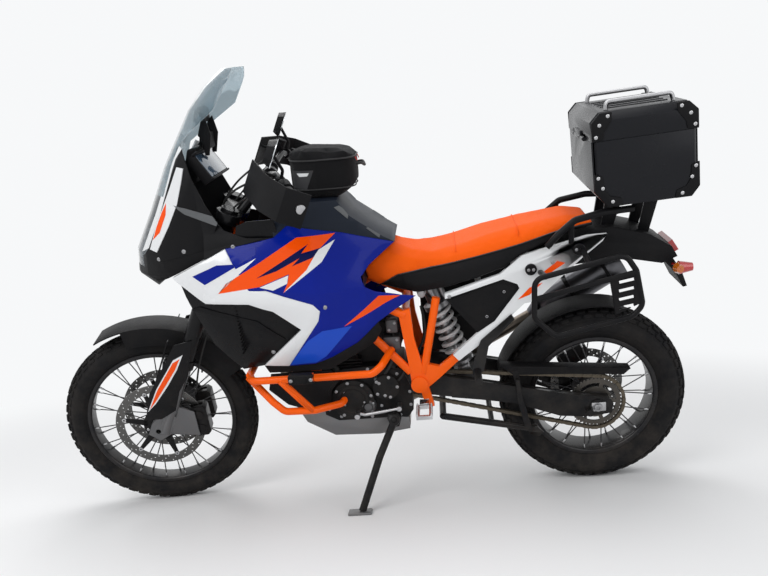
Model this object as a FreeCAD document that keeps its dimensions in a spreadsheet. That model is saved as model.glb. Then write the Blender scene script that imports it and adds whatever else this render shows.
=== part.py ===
import FreeCAD, Part
import math
import os
import re
from types import SimpleNamespace

import Sketcher

# A large adventure motorcycle, parked on its side stand with the front wheel turned a little to the left.
# Millimetres. X runs rearward, Y to the rider's right and Z up. Each piece is drawn upright, with the
# wheels in line and X = 0 half way between the axles; its placement then steers and leans it.
# The origin ends on the ground, under the middle of the whole machine.

SIZES = {
    # stance; a name with angle in it is in degrees
    "wheelbase": 1578,
    "seat_height": 925,
    "lean_angle": 12,
    "steer_angle": 7.7,
    "rake_angle": 25.3,
    "trail": 112.8,
    "head_place_share": -0.39671,
    "rear_place_share": 0.789,
    "up_share": 1.08108,
    # fits
    "cut_over": 20,
    "fit_gap": 0.3,
    "running_gap": 6,
    "bearing_gap": 1,
    # front wheel
    "front_radius": 347,
    "front_tyre_width": 90,
    "front_rim_width": 66,
    "front_rim_radius": 267,
    "front_rim_inner": 251,
    "front_hub_radius": 26,
    "front_hub_flange": 38,
    "front_hub_half": 36,
    "front_disc_radius": 160,
    "front_disc_y": 64,
    # rear wheel
    "rear_radius": 333,
    "rear_tyre_width": 150,
    "rear_rim_width": 112,
    "rear_rim_radius": 229,
    "rear_rim_inner": 211,
    "rear_hub_radius": 40,
    "rear_hub_flange": 60,
    "rear_hub_half": 50,
    "rear_disc_radius": 133,
    "rear_disc_y": 86,
    # what both wheels share
    "rim_flange": 12,
    "rim_wall": 5,
    "spoke_radius": 2.2,
    "spoke_count": 36,
    "spoke_cross_share": 0.24,
    "spoke_over_share": 0.05,
    "flange_thick": 6,
    "axle_radius": 12.5,
    "axle_bore": 9,
    "disc_thick": 5,
    "disc_ring": 30,
    "carrier_radius": 58,
    "carrier_arm": 14,
    "front_disc_arms": 6,
    "rear_disc_arms": 5,
    # chain drive
    "sprocket_radius": 100,
    "sprocket_y": 90,
    "sprocket_thick": 6,
    "sprocket_tooth": 6,
    "sprocket_teeth": 42,
    "sprocket_arms": 5,
    "chain_half": 8,
    "chain_height": 13,
    "chain_gap": 1.2,
    "counter_radius": 42,
    # fork, measured from the front axle along the steering axis
    "fork_half": 104,
    "fork_lead": 20,
    "fork_outer_radius": 29,
    "fork_inner_radius": 24,
    "fork_outer_low": 270,
    "fork_top": 866,
    "clamp_low": 590,
    "clamp_high": 820,
    "clamp_thick": 34,
    "clamp_radius": 42,
    "stem_radius": 17,
    "head_radius": 30,
    "foot_height": 110,
    "foot_depth": 58,
    "foot_width": 30,
    "guard_low": 45,
    "guard_height": 345,
    "guard_width": 104,
    "guard_wall": 4,
    "fender_radius": 374,
    "fender_wall": 4,
    "fender_half": 64,
    "fender_start_angle": 64,
    "fender_end_angle": 150,
    "fender_skirt": 62,
    "fender_facets": 4,
    "caliper_length": 115,
    "caliper_depth": 58,
    "caliper_width": 58,
    "caliper_angle": 62,
    "rear_caliper_angle": -24,
    "rear_caliper_width": 30,
    # handlebar
    "riser_half": 48,
    "riser_height": 153,
    "riser_radius": 17,
    "bar_set_back": 61,
    "bar_radius": 11,
    "bar_half": 410,
    "bar_rise": 30,
    "bar_back": 105,
    "bar_bend": 60,
    "grip_radius": 17,
    "pod_radius": 22,
    "handguard_wall": 4,
    "handguard_height": 105,
    "handguard_reach": 118,
    "lever_radius": 5,
    "mirror_half": 300,
    "mirror_ahead": 45,
    "mirror_rise": 85,
    "mirror_width": 150,
    "mirror_height": 84,
    "mirror_depth": 24,
    # frame
    "frame_tube": 15,
    "frame_half": 140,
    "frame_knee_half": 118,
    "pivot_cap": 29,
    "pivot_bolt": 8,
    "pivot_plate": 22,
    # engine
    "engine_half": 116,
    "bore_width": 136,
    "bore_depth": 118,
    "head_depth": 146,
    "front_bank_angle": -52,
    "front_bank_reach": 270,
    "rear_bank_angle": 23,
    "rear_bank_reach": 300,
    "cover_radius": 74,
    "cover_depth": 22,
    "skid_half": 112,
    "skid_wall": 5,
    "crash_radius": 12.5,
    "crash_half": 250,
    "crash_bend": 34,
    "radiator_inner": 96,
    "radiator_depth": 34,
    "pipe_radius": 22,
    "header_half": 60,
    "collector_length": 200,
    "collector_height": 54,
    "silencer_radius": 58,
    "silencer_cap": 62,
    "silencer_y": 192,
    # bodywork
    "body_half": 250,
    "panel_wall": 5,
    "band_depth": 28,
    "shroud_wall": 5,
    "screen_half": 185,
    "cowl_wall": 5,
    "lamp_half": 92,
    "stay_radius": 12,
    "dash_width": 210,
    "dash_depth": 34,
    "dash_height": 96,
    "dash_tilt_angle": -32,
    "mast_half": 46,
    "mast_wall": 5,
    # seat, rear frame and tail
    "seat_nose_half": 92,
    "seat_half": 160,
    "seat_tail_half": 128,
    "rail_half": 142,
    "rail_wall": 16,
    "infill_wall": 10,
    "tail_half": 118,
    "lamp_depth": 14,
    "grab_half": 168,
    "grab_radius": 11,
    "rack_plate_length": 250,
    "rack_plate_width": 220,
    "rack_plate_wall": 8,
    "rack_bolt_radius": 4.5,
    "rack_bolt_ring": 140,
    "rack_bolts": 4,
    # luggage
    "case_length": 316,
    "case_width": 420,
    "case_height": 200,
    "case_wall": 4,
    "case_tilt_angle": -3.5,
    "case_corner": 30,
    "lid_height": 82,
    "lid_gap": 1,
    "lid_rail_radius": 6,
    "lid_rail_rise": 24,
    "hinge_radius": 7,
    "hinge_pin": 2.5,
    "hinge_knuckle": 44,
    "rack_leg_half": 62,
    "rack_leg_wall": 10,
    "pannier_half": 282,
    "pannier_radius": 9,
    "pannier_bend": 34,
    "ladder_slots": 4,
    "ladder_pitch": 28,
    "bag_half": 84,
    "bag_nose_half": 40,
    "bag_height": 190,
    # swing arm
    "arm_half": 116,
    "arm_wall": 28,
    "arm_bridge": 92,
    "spool_radius": 9,
    "spool_head": 13,
    "spool_length": 24,
    "chain_guard_wall": 3,
    "shock_radius": 22,
    "spring_radius": 40,
    "spring_wire": 6,
    "spring_turns": 7,
    # foot rests and stands
    "peg_length": 92,
    "peg_width": 54,
    "peg_wall": 14,
    "peg_inner": 170,
    "back_peg_radius": 13,
    "back_peg_length": 90,
    "hanger_wall": 12,
    "prop_radius": 13,
    "prop_hinge_half": 163,
    "prop_foot_half": 310,
    "prop_foot_length": 80,
    "prop_foot_width": 46,
    "prop_foot_wall": 8,
    "prop_pin_angle": 27.7,
    "prop_gap": 2,
    "centre_half": 128,
    "tang_wall": 8,
    "centre_radius": 12,
    "centre_foot": 60,
}

doc = FreeCAD.newDocument("AdventureMotorcycle")
sheet = doc.addObject("Spreadsheet::Sheet", "Dimensions")
for row, (alias, value) in enumerate(SIZES.items(), start=1):
    sheet.set(f"A{row}", alias)
    sheet.set(f"B{row}", str(value))
    sheet.setAlias(f"B{row}", alias)
doc.recompute()
d = SimpleNamespace(**{alias: float(sheet.get(alias)) for alias in SIZES})

PIECES = {}


def at(x, y, z):
    return FreeCAD.Vector(x, y, z)


ORIGIN = at(0, 0, 0)
ALONG_X = at(1, 0, 0)
ALONG_Y = at(0, 1, 0)
ALONG_Z = at(0, 0, 1)
UPRIGHT = FreeCAD.Placement()


# Formulas: a name of the sheet stands for its cell


def bind(formula):
    return re.sub(r"[a-z]\w+", lambda word: "Dimensions." + word[0] if word[0] in SIZES else word[0], formula)


def measure(formula):
    return float(sheet.evalExpression(bind(formula)))


def bound(kind, name, spot=("0", "0", "0"), turn=None, **formulas):
    thing = doc.addObject(kind, name)
    for prop, formula in formulas.items():
        thing.setExpression(prop, bind(formula))
    if turn:
        thing.Placement.Rotation = turn
    for axis, formula in zip("xyz", spot):
        thing.setExpression(f"Placement.Base.{axis}", bind(formula))
    return thing


# Sketched bodies


def draw_loop(flat, corners):
    first = flat.GeometryCount
    spots = [at(measure(across), measure(up), 0) for across, up in corners]
    for start, end in zip(spots, spots[1:] + spots[:1]):
        flat.addGeometry(Part.LineSegment(start, end), False)
    for index in range(len(corners)):
        following = first + (index + 1) % len(corners)
        flat.addConstraint(Sketcher.Constraint("Coincident", first + index, 2, following, 1))
    for index, (formulas, spot) in enumerate(zip(corners, spots)):
        for kind, formula, value, axis in zip(("DistanceX", "DistanceY"), formulas, (spot.x, spot.y),
                                              (-2, -1)):
            if formula == "0":
                flat.addConstraint(Sketcher.Constraint("PointOnObject", first + index, 1, axis))
            else:
                number = flat.addConstraint(Sketcher.Constraint(kind, -1, 1, first + index, 1, value))
                flat.setExpression(f"Constraints[{number}]", bind(formula))


def sketch(body, name, role, *loops):
    flat = body.newObject("Sketcher::SketchObject", name)
    base = next(item for item in body.Origin.OriginFeatures if item.Role == role)
    flat.AttachmentSupport = [(base, "")]
    flat.MapMode = "FlatFace"
    for corners in loops:
        draw_loop(flat, corners)
    return flat


def turned(label, corners):
    body = doc.addObject("PartDesign::Body", label)
    profile = sketch(body, label + "_profile", "XY_Plane", corners)
    turn = body.newObject("PartDesign::Revolution", label + "_turn")
    turn.Profile = profile
    turn.ReferenceAxis = (profile, ["V_Axis"])
    turn.Angle = 360
    body.Tip = turn
    return body


def both_sides(corners):
    """A turned section given for its right half, outermost point first, closed by its mirror image."""
    mirror = [(across, f"-({up})") for across, up in reversed(corners)]
    return corners + mirror


# Shapes drawn with Part


def blend(low, high, share):
    return low + (high - low) * share


def plate(points, y_low, y_high):
    """An outline in the side view, given a thickness across the machine."""
    corners = [at(x, y_low, z) for x, z in points]
    outline = Part.makePolygon(corners + corners[:1])
    return Part.Face(outline).extrude(at(0, y_high - y_low, 0))


def twin(shape):
    """A piece and its mirror image on the other side of the machine."""
    return Part.makeCompound([shape, shape.mirror(ORIGIN, ALONG_Y)])


def rod(start, end, radius):
    run = end - start
    return Part.makeCylinder(radius, run.Length, start, run)


def six_sided(start, end, radius):
    """A thin rod with six flats."""
    run = end - start
    side = run.cross(ALONG_Y if abs(run.x) + abs(run.z) > abs(run.y) else ALONG_X)
    side.normalize()
    up = run.cross(side)
    up.normalize()
    turns = [math.radians(60 * step) for step in range(6)]
    ring = [start + side * (radius * math.cos(a)) + up * (radius * math.sin(a)) for a in turns]
    return Part.Face(Part.makePolygon(ring + ring[:1])).extrude(run)


def tube(points, radius, bend, bore=0):
    """A round bar through the points, its corners bent to the given radius."""
    corners = [at(*point) for point in points]
    start = corners[0]
    edges = []
    for before, corner, after in zip(corners, corners[1:], corners[2:]):
        into = (corner - before).normalize()
        away = (after - corner).normalize()
        half = into.getAngle(away) / 2
        room = 0.45 * min((corner - before).Length, (after - corner).Length)
        cut = min(bend * math.tan(half), room)
        inner = cut / math.tan(half)
        middle = corner + (away - into).normalize() * (math.hypot(inner, cut) - inner)
        entry = corner - into * cut
        leave = corner + away * cut
        edges.append(Part.LineSegment(start, entry).toShape())
        edges.append(Part.Arc(entry, middle, leave).toShape())
        start = leave
    edges.append(Part.LineSegment(start, corners[-1]).toShape())
    route = Part.Wire(edges)
    ring = Part.Wire(Part.makeCircle(radius, corners[0], corners[1] - corners[0]))
    bar = route.makePipeShell([ring], True, False)
    if bore:
        hole = Part.Wire(Part.makeCircle(bore, corners[0], corners[1] - corners[0]))
        bar = bar.cut(route.makePipeShell([hole], True, False))
    return bar


def join(*shapes):
    first, *others = shapes
    return first.fuse(others).removeSplitter() if others else first


def block(x, y, z, length, width, height):
    """A box given by its least X and Z and by its middle in Y."""
    return Part.makeBox(length, width, height, at(x, y - width / 2, z))


def drum(x, z, radius, y_low, y_high):
    """A cylinder across the machine."""
    return Part.makeCylinder(radius, y_high - y_low, at(x, y_low, z), ALONG_Y)


def piece(label, shape, place=UPRIGHT):
    if not shape.Placement.isIdentity():
        shape = Part.makeCompound([shape])
    PIECES[label] = SimpleNamespace(shape=shape, place=place, thing=None)


def built(label, thing, place=UPRIGHT):
    PIECES[label] = SimpleNamespace(shape=None, place=place, thing=thing)


# Wheels: each is drawn about its own centre, its axle along Y


def tyre(label, end):
    """Beads inside the rim's flanges, flat sidewalls, then the round crown."""
    radius = f"{end}_radius"
    half = f"{end}_tyre_width / 2"
    height = f"({end}_radius - {end}_rim_radius)"
    seat = f"{end}_rim_width / 2 - rim_wall - fit_gap"
    section = both_sides([
        (radius, f"{half} * 0.2"),
        (f"{radius} - {height} * 0.08", f"{half} * 0.56"),
        (f"{radius} - {height} * 0.27", f"{half} * 0.86"),
        (f"{radius} - {height} * 0.52", f"{half}"),
        (f"{radius} - {height} * 0.82", f"{half} * 0.9"),
        (f"{end}_rim_radius", seat),
        (f"{end}_rim_inner + rim_wall + fit_gap", seat),
    ])
    return turned(label, section)


def rim(label, end):
    """A spoked rim with a sunk well, and flanges that hold the tyre's beads."""
    edge = f"{end}_rim_width / 2"
    section = both_sides([
        (f"{end}_rim_radius", edge),
        (f"{end}_rim_inner + rim_wall", edge),
        (f"{end}_rim_inner", f"{edge} - rim_wall"),
    ])
    well = [
        (f"{end}_rim_radius", f"-({edge} - rim_wall)"),
        (f"{end}_rim_inner + rim_wall", f"-({edge} - rim_wall)"),
        (f"{end}_rim_inner + rim_wall", f"{edge} - rim_wall"),
        (f"{end}_rim_radius", f"{edge} - rim_wall"),
    ]
    return turned(label, section + well)


def spokes(end, count):
    """Crossed spokes from the hub's flanges to the rim, in a pattern that repeats every four."""
    flange = getattr(d, f"{end}_hub_flange")
    half = getattr(d, f"{end}_hub_half")
    inner = getattr(d, f"{end}_rim_inner")
    edge = getattr(d, f"{end}_rim_width") / 2 - d.rim_flange
    step = 2 * math.pi / count
    rods = []
    for index in range(count):
        side = 1 if index % 2 else -1
        lean = d.spoke_cross_share * math.pi * (1 if index % 4 < 2 else -1)
        foot = index * step
        tip = foot + lean * 0.5
        low = flange - d.flange_thick
        start = at(low * math.cos(foot), side * half, low * math.sin(foot))
        finish = at(inner * math.cos(tip), side * edge, inner * math.sin(tip))
        rods.append(six_sided(start, finish + (finish - start) * d.spoke_over_share, d.spoke_radius))
    inside = drum(0, 0, inner, -half - edge, half + edge)
    return [spoke.common(inside) for spoke in rods]


def hub(end, reach_left, reach_right):
    radius = getattr(d, f"{end}_hub_radius")
    flange = getattr(d, f"{end}_hub_flange")
    half = getattr(d, f"{end}_hub_half")
    barrel = drum(0, 0, radius, -reach_left, reach_right)
    sides = [drum(0, 0, flange, side * half - d.flange_thick / 2, side * half + d.flange_thick / 2)
             for side in (-1, 1)]
    bore = drum(0, 0, d.axle_radius + d.fit_gap, -reach_left - d.cut_over, reach_right + d.cut_over)
    return join(barrel, *sides, *spokes(end, int(d.spoke_count))).cut(bore)


def across(name, radius, thickness, middle):
    """A bound cylinder across the machine, about its own Y."""
    turn = FreeCAD.Rotation(ALONG_X, -90)
    low = f"{middle} - {thickness} / 2"
    return bound("Part::Cylinder", name, ("0", low, "0"), turn, Radius=radius, Height=thickness)


def cut_from(name, base, tool):
    cut = doc.addObject("Part::Cut", name)
    cut.Base, cut.Tool = base, tool
    return cut


def fused(name, *things):
    union = doc.addObject("Part::MultiFuse", name)
    union.Shapes = list(things)
    union.Refine = True
    return union


def brake_disc(label, radius, middle, hub_radius, arms):
    """A ring on a spider whose arms leave the middle open."""
    ring = cut_from(label + "_ring", across(label + "_outside", radius, "disc_thick", middle),
                    across(label + "_inside", f"{radius} - disc_ring", "disc_thick", middle))
    spider = [across(label + "_carrier", "carrier_radius", "disc_thick", middle)]
    for index in range(arms):
        angle = index * 360 / arms
        base = (f"-carrier_arm / 2 * sin({angle} deg)", f"{middle} - disc_thick / 2",
                f"-carrier_arm / 2 * cos({angle} deg)")
        spider.append(bound("Part::Box", f"{label}_arm{index}", base, FreeCAD.Rotation(ALONG_Y, angle),
                            Length=f"{radius} - disc_ring / 2", Width="disc_thick", Height="carrier_arm"))
    whole = fused(label + "_whole", ring, *spider)
    return cut_from(label + "_bored", whole, across(label + "_hole", hub_radius, "disc_thick", middle))


def sprocket():
    """A toothed ring with five arms, on the left of the rear wheel."""
    low, high = -d.sprocket_y - d.sprocket_thick / 2, -d.sprocket_y + d.sprocket_thick / 2
    tip = d.sprocket_radius - d.chain_height / 2 - d.chain_gap
    root = tip - d.sprocket_tooth
    count = int(d.sprocket_teeth)
    ring = []
    for index in range(count):
        for share, radius in ((0, root), (0.3, tip), (0.6, tip)):
            turn = 2 * math.pi * (index + share) / count
            ring.append(at(radius * math.cos(turn), low, radius * math.sin(turn)))
    toothed = Part.Face(Part.makePolygon(ring + ring[:1])).extrude(at(0, high - low, 0))
    window = drum(0, 0, root - d.carrier_arm, low, high)
    spider = [drum(0, 0, d.carrier_radius, low, high)]
    arms = int(d.sprocket_arms)
    for index in range(arms):
        arm = Part.makeBox(root - d.carrier_arm / 2, high - low, d.carrier_arm,
                           at(0, low, -d.carrier_arm / 2))
        arm.rotate(ORIGIN, ALONG_Y, index * 360 / arms)
        spider.append(arm)
    return join(toothed.cut(window), *spider).cut(drum(0, 0, d.rear_hub_radius, low, high))


FRONT_AXLE = at(-d.wheelbase / 2, 0, d.front_radius)
REAR_AXLE = at(d.wheelbase / 2, 0, d.rear_radius)
FORK_TURN = FreeCAD.Rotation(ALONG_Y, d.rake_angle)
STEER_DIRECTION = FORK_TURN.multVec(ALONG_Z)
STEER_POINT = at(-d.wheelbase / 2 - d.trail, 0, 0)
LEAN = FreeCAD.Placement(ORIGIN, FreeCAD.Rotation(ALONG_X, d.lean_angle))
STEER = FreeCAD.Placement(ORIGIN, FreeCAD.Rotation(STEER_DIRECTION, d.steer_angle), STEER_POINT)
FRONT_WHEEL = STEER * FreeCAD.Placement(FRONT_AXLE, FreeCAD.Rotation())
FORK = STEER * FreeCAD.Placement(FRONT_AXLE, FORK_TURN)
REAR_WHEEL = FreeCAD.Placement(REAR_AXLE, FreeCAD.Rotation())


def make_wheels():
    built("front_tyre", tyre("front_tyre", "front"), FRONT_WHEEL)
    built("rear_tyre", tyre("rear_tyre", "rear"), REAR_WHEEL)
    built("front_rim", rim("front_rim", "front"), FRONT_WHEEL)
    built("rear_rim", rim("rear_rim", "rear"), REAR_WHEEL)
    front_reach = d.front_disc_y + d.disc_thick / 2
    piece("front_hub", hub("front", front_reach, front_reach), FRONT_WHEEL)
    piece("rear_hub", hub("rear", d.sprocket_y + d.sprocket_thick / 2, d.rear_disc_y + d.disc_thick / 2),
          REAR_WHEEL)
    pair = [brake_disc(f"disc_{name}", "front_disc_radius", f"{sign}front_disc_y", "front_hub_radius",
                       int(d.front_disc_arms)) for name, sign in (("left", "-"), ("right", ""))]
    built("front_discs", fused("front_discs", *pair), FRONT_WHEEL)
    rear = brake_disc("disc_rear", "rear_disc_radius", "rear_disc_y", "rear_hub_radius",
                      int(d.rear_disc_arms))
    built("rear_disc", rear, REAR_WHEEL)
    piece("rear_sprocket", sprocket(), REAR_WHEEL)
    doc.recompute()


def ground_pose():
    """How the drawing stands: leaned over, pitched until both tyres touch the ground, and set down."""
    lows = []
    for label in ("front_tyre", "rear_tyre"):
        item = PIECES[label]
        item.thing.Placement = LEAN * item.place
        lows.append(item.thing.Shape.optimalBoundingBox(False, False).ZMin)
    pitch = math.degrees(math.asin((lows[1] - lows[0]) / d.wheelbase))
    return FreeCAD.Placement(at(0, 0, -sum(lows) / 2), FreeCAD.Rotation(ALONG_Y, pitch)) * LEAN


# The side view: an outline's shares run along from the steering head to the rear axle, and up with the seat

UP = d.seat_height * d.up_share
RAKE = math.radians(d.rake_angle)
AXIS_BACK = d.front_radius * math.sin(RAKE) - d.trail * math.cos(RAKE)


def on_head(height):
    """A point of the steering axis, by its height along the fork."""
    return FRONT_AXLE + FORK_TURN.multVec(at(AXIS_BACK, 0, height))


HEAD_X = on_head(d.clamp_high).x


def along(share):
    reach = (share - d.head_place_share) / (d.rear_place_share - d.head_place_share)
    return blend(HEAD_X, REAR_AXLE.x, reach)


def seen(shares):
    return [(along(length), UP * up) for length, up in shares]


def spot(length, half, up):
    return at(along(length), half, UP * up)


def run(shares):
    """A route in space: shares along and up, with the distance from the middle between them."""
    return [(along(length), half, UP * up) for length, half, up in shares]


def solids_only(shape):
    """The shape without the slivers that a cut can leave."""
    kept = [solid for solid in shape.Solids if solid.Volume > d.fit_gap * d.fit_gap * d.cut_over]
    return kept[0] if len(kept) == 1 else Part.makeCompound(kept)


# Fork and handlebar: drawn from the front axle, X back from it square to the fork and Z up along the fork


def leg(low, high, radius):
    return Part.makeCylinder(radius, high - low, at(d.fork_lead, d.fork_half, low))


def fork_tubes():
    """The outer tubes: each is a sleeve over its inner tube, with a collar at its foot."""
    solid, hollow = [], []
    for name, sign in (("left", "-"), ("right", "")):
        foot = ("fork_lead", f"{sign}fork_half", "fork_outer_low")
        solid.append(bound("Part::Cylinder", f"outer_{name}", foot, Radius="fork_outer_radius",
                           Height="fork_top - fork_outer_low"))
        solid.append(bound("Part::Cylinder", f"collar_{name}", foot, Radius="fork_outer_radius + guard_wall",
                           Height="clamp_thick"))
        hollow.append(bound("Part::Cylinder", f"inner_{name}", foot, Radius="fork_inner_radius",
                            Height="cut_over"))
    return cut_from("sleeves", fused("outers", *solid), fused("inners", *hollow))


def make_fork():
    axle = drum(0, 0, d.axle_radius, -d.fork_half - d.foot_width, d.fork_half + d.foot_width)
    out = d.fork_half + d.foot_width / 2
    stanchion = leg(0, d.fork_outer_low + d.cut_over, d.fork_inner_radius)
    foot = plate([(-d.foot_depth / 2, -d.foot_height * 0.2), (d.foot_depth * 0.3, -d.foot_height * 0.3),
                  (d.foot_depth * 0.75, 0), (d.fork_lead + d.fork_inner_radius, d.foot_height * 0.7),
                  (d.fork_lead - d.fork_inner_radius, d.foot_height * 0.7),
                  (-d.foot_depth / 2, d.foot_height * 0.2)], d.fork_half - d.foot_width / 2, out)
    turn = math.radians(d.caliper_angle)
    far_x, far_z = d.front_disc_radius * 0.86 * math.sin(turn), d.front_disc_radius * 0.86 * math.cos(turn)
    reach_x, reach_z = d.caliper_length * 0.42 * math.cos(turn), d.caliper_length * 0.42 * math.sin(turn)
    lug = plate([(d.foot_depth * 0.5, -d.foot_height * 0.1), (far_x + reach_x, far_z - reach_z),
                 (far_x - reach_x, far_z + reach_z), (d.fork_lead, d.foot_height)],
                d.front_disc_y + d.caliper_width / 2, d.fork_half)
    lower = join(stanchion, foot, lug).cut(axle)
    spindle = drum(0, 0, d.axle_radius, -out, out)
    lowers = join(spindle, lower, lower.mirror(ORIGIN, ALONG_Y))
    piece("fork_lowers", lowers.cut(drum(0, 0, d.axle_bore, -out, out)), FORK)
    built("fork_uppers", fork_tubes(), FORK)


def yoke(low):
    """A clamp plate: a ring round each leg, joined by a web that reaches back round the stem."""
    rings = [Part.makeCylinder(d.clamp_radius, d.clamp_thick, at(d.fork_lead, side * d.fork_half, low))
             for side in (-1, 1)]
    half = d.fork_half
    corners = [at(d.fork_lead - d.clamp_radius * 0.6, -half, low),
               at(d.fork_lead - d.clamp_radius * 0.6, half, low),
               at(d.fork_lead + d.clamp_radius * 0.8, half, low),
               at(AXIS_BACK + d.clamp_radius * 0.8, half / 3, low),
               at(AXIS_BACK + d.clamp_radius * 0.8, -half / 3, low),
               at(d.fork_lead + d.clamp_radius * 0.8, -half, low)]
    web = Part.Face(Part.makePolygon(corners + corners[:1])).extrude(at(0, 0, d.clamp_thick))
    return join(web, *rings).cut(twin(leg(low - d.cut_over, low + d.clamp_thick + d.cut_over,
                                          d.fork_outer_radius)))


BAR_X = AXIS_BACK + d.bar_set_back
BAR_Z = d.clamp_high + d.clamp_thick + d.riser_height
BAR_ELBOW = at(BAR_X + d.bar_back * 0.16, d.bar_half * 0.46, BAR_Z + d.bar_rise)
BAR_END = at(BAR_X + d.bar_back, d.bar_half, BAR_Z + d.bar_rise * 0.3)


def on_bar(share):
    """A point on the bar's straight outer run, from its elbow to its end."""
    return BAR_ELBOW + (BAR_END - BAR_ELBOW) * share


def make_yokes():
    stem = Part.makeCylinder(d.stem_radius, d.clamp_high - d.clamp_low,
                             at(AXIS_BACK, 0, d.clamp_low + d.clamp_thick / 2))
    post = rod(at(AXIS_BACK, d.riser_half, d.clamp_high + d.clamp_thick / 2),
               at(BAR_X, d.riser_half, BAR_Z), d.riser_radius)
    above = Part.makeBox(4 * d.fork_top, 4 * d.fork_half, 2 * d.fork_top,
                         at(-2 * d.fork_top, -2 * d.fork_half, d.clamp_high + d.clamp_thick))
    cap = drum(BAR_X, BAR_Z, d.riser_radius * 1.25, d.riser_half - d.riser_radius,
               d.riser_half + d.riser_radius)
    bar = drum(BAR_X, BAR_Z, d.bar_radius + d.fit_gap, 0, 2 * d.riser_half)
    riser = join(post.common(above), cap)
    yokes = join(yoke(d.clamp_low), yoke(d.clamp_high), stem, riser, riser.mirror(ORIGIN, ALONG_Y))
    piece("yokes", yokes.cut(bar.fuse(bar.mirror(ORIGIN, ALONG_Y))), FORK)


def make_handlebar():
    right = [(BAR_X, d.bar_half * 0.17, BAR_Z), tuple(BAR_ELBOW), tuple(BAR_END)]
    left = [(x, -y, z) for x, y, z in reversed(right)]
    piece("handlebar", tube(left + right, d.bar_radius, d.bar_bend), FORK)
    grip = rod(on_bar(0.52), on_bar(0.985), d.grip_radius).cut(rod(on_bar(0), on_bar(1), d.bar_radius))
    piece("grips", twin(grip), FORK)
    pod = rod(on_bar(0.33), on_bar(0.5), d.pod_radius)
    lever_root = on_bar(0.4) + at(-d.pod_radius, 0, 0)
    lever_tip = on_bar(0.95) + at(-d.grip_radius * 3, 0, 0)
    elbow = lever_root + at(-d.grip_radius * 2, d.grip_radius * 1.5, 0)
    joint = Part.makeSphere(d.lever_radius * 1.15, elbow)
    arm = rod(on_bar(0.4), lever_root + at(-d.lever_radius * 2, 0, 0), d.lever_radius * 1.8)
    pods = join(pod, arm, rod(lever_root, elbow, d.lever_radius), joint,
                rod(elbow, lever_tip, d.lever_radius))
    piece("bar_controls", twin(pods.cut(rod(on_bar(0), on_bar(1), d.bar_radius))), FORK)


def make_hand_guards():
    """A curved shield ahead of each grip, from a clamp near the elbow round to the bar's end."""
    inner = on_bar(0.08)
    tip = on_bar(1)
    wall = d.handguard_wall
    reach = d.handguard_reach
    outside = [(tip.x + d.grip_radius * 1.3, tip.y + 2.5 * wall), (tip.x - reach * 0.45, tip.y + 4 * wall),
               (tip.x - reach * 0.95, tip.y - d.bar_half * 0.1), (inner.x - reach * 0.75, inner.y + wall)]
    inside = [(x + wall * lean, y - wall) for (x, y), lean in zip(outside, (0, 0.3, 1, 1))]
    corners = [at(x, y, tip.z - d.handguard_height * 0.55) for x, y in outside + inside[::-1]]
    shield = Part.Face(Part.makePolygon(corners + corners[:1])).extrude(at(0, 0, d.handguard_height))
    stay = rod(inner, at(inner.x - reach * 0.75 + wall, inner.y + wall, inner.z), d.lever_radius)
    end = rod(tip, tip + at(0, 2 * wall, 0), d.grip_radius)
    guard = join(shield, stay, end).cut(rod(on_bar(0), on_bar(1), d.bar_radius))
    piece("hand_guards", twin(guard), FORK)


def make_mirrors():
    root = on_bar(0.22)
    head = at(root.x - d.mirror_ahead, d.mirror_half, root.z + d.mirror_rise)
    shares = [(-0.5, -0.3), (-0.34, -0.5), (0.3, -0.42), (0.5, -0.1), (0.42, 0.4), (0.1, 0.5), (-0.4, 0.42)]
    back = [at(head.x - d.mirror_depth, head.y + d.mirror_width * y * 0.8,
               head.z + d.mirror_height * z * 0.75) for y, z in shares]
    front = [at(head.x, head.y + d.mirror_width * y, head.z + d.mirror_height * z) for y, z in shares]
    shell = Part.makeLoft([Part.makePolygon(ring + ring[:1]) for ring in (back, front)], True, True)
    elbow = root + at(-d.lever_radius, d.lever_radius * 3, d.mirror_rise * 0.45)
    stalk = tube([tuple(root), tuple(elbow), (head.x - d.mirror_depth / 2, head.y - d.mirror_width * 0.2,
                                              head.z)], d.lever_radius, d.grip_radius)
    clamp = rod(on_bar(0.18), on_bar(0.26), d.grip_radius)
    bar = rod(on_bar(0), on_bar(1), d.bar_radius)
    piece("mirrors", twin(join(shell, stalk, clamp).cut(bar)), FORK)


def sector(radius, wall, low, high, start, end):
    """Part of a drum wall about the axle, between two angles measured up from straight ahead."""
    band = drum(0, 0, radius + wall, low, high).cut(drum(0, 0, radius, low, high))
    far = 3 * radius
    steps = int(d.fender_facets)
    turns = [math.radians(start + (end - start) * step / steps) for step in range(steps + 1)]
    return band.common(plate([(0, 0)] + [(-far * math.cos(turn), far * math.sin(turn)) for turn in turns],
                             low, high))


def make_front_fender():
    """A low fender, drawn square to the ground: a crown over the tyre and skirts that bolt to the fork."""
    low, high = d.fender_start_angle, d.fender_end_angle
    crown = sector(d.fender_radius, d.fender_wall, -d.fender_half, d.fender_half, low, high)
    inner, outer = d.fender_half - d.fender_wall, d.fender_half
    skirt = sector(d.fender_radius - d.fender_skirt, d.fender_skirt + d.fender_wall, inner, outer,
                   low + d.fender_skirt / 4, high)
    ear_low = FORK_TURN.multVec(at(d.fork_lead, 0, d.fork_outer_low * 0.9))
    ear = drum(ear_low.x, ear_low.z, d.fork_inner_radius * 0.8, inner,
               d.fork_half - d.fork_inner_radius - d.fit_gap)
    piece("front_fender", join(crown, twin(skirt), twin(ear)), FRONT_WHEEL)


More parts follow.
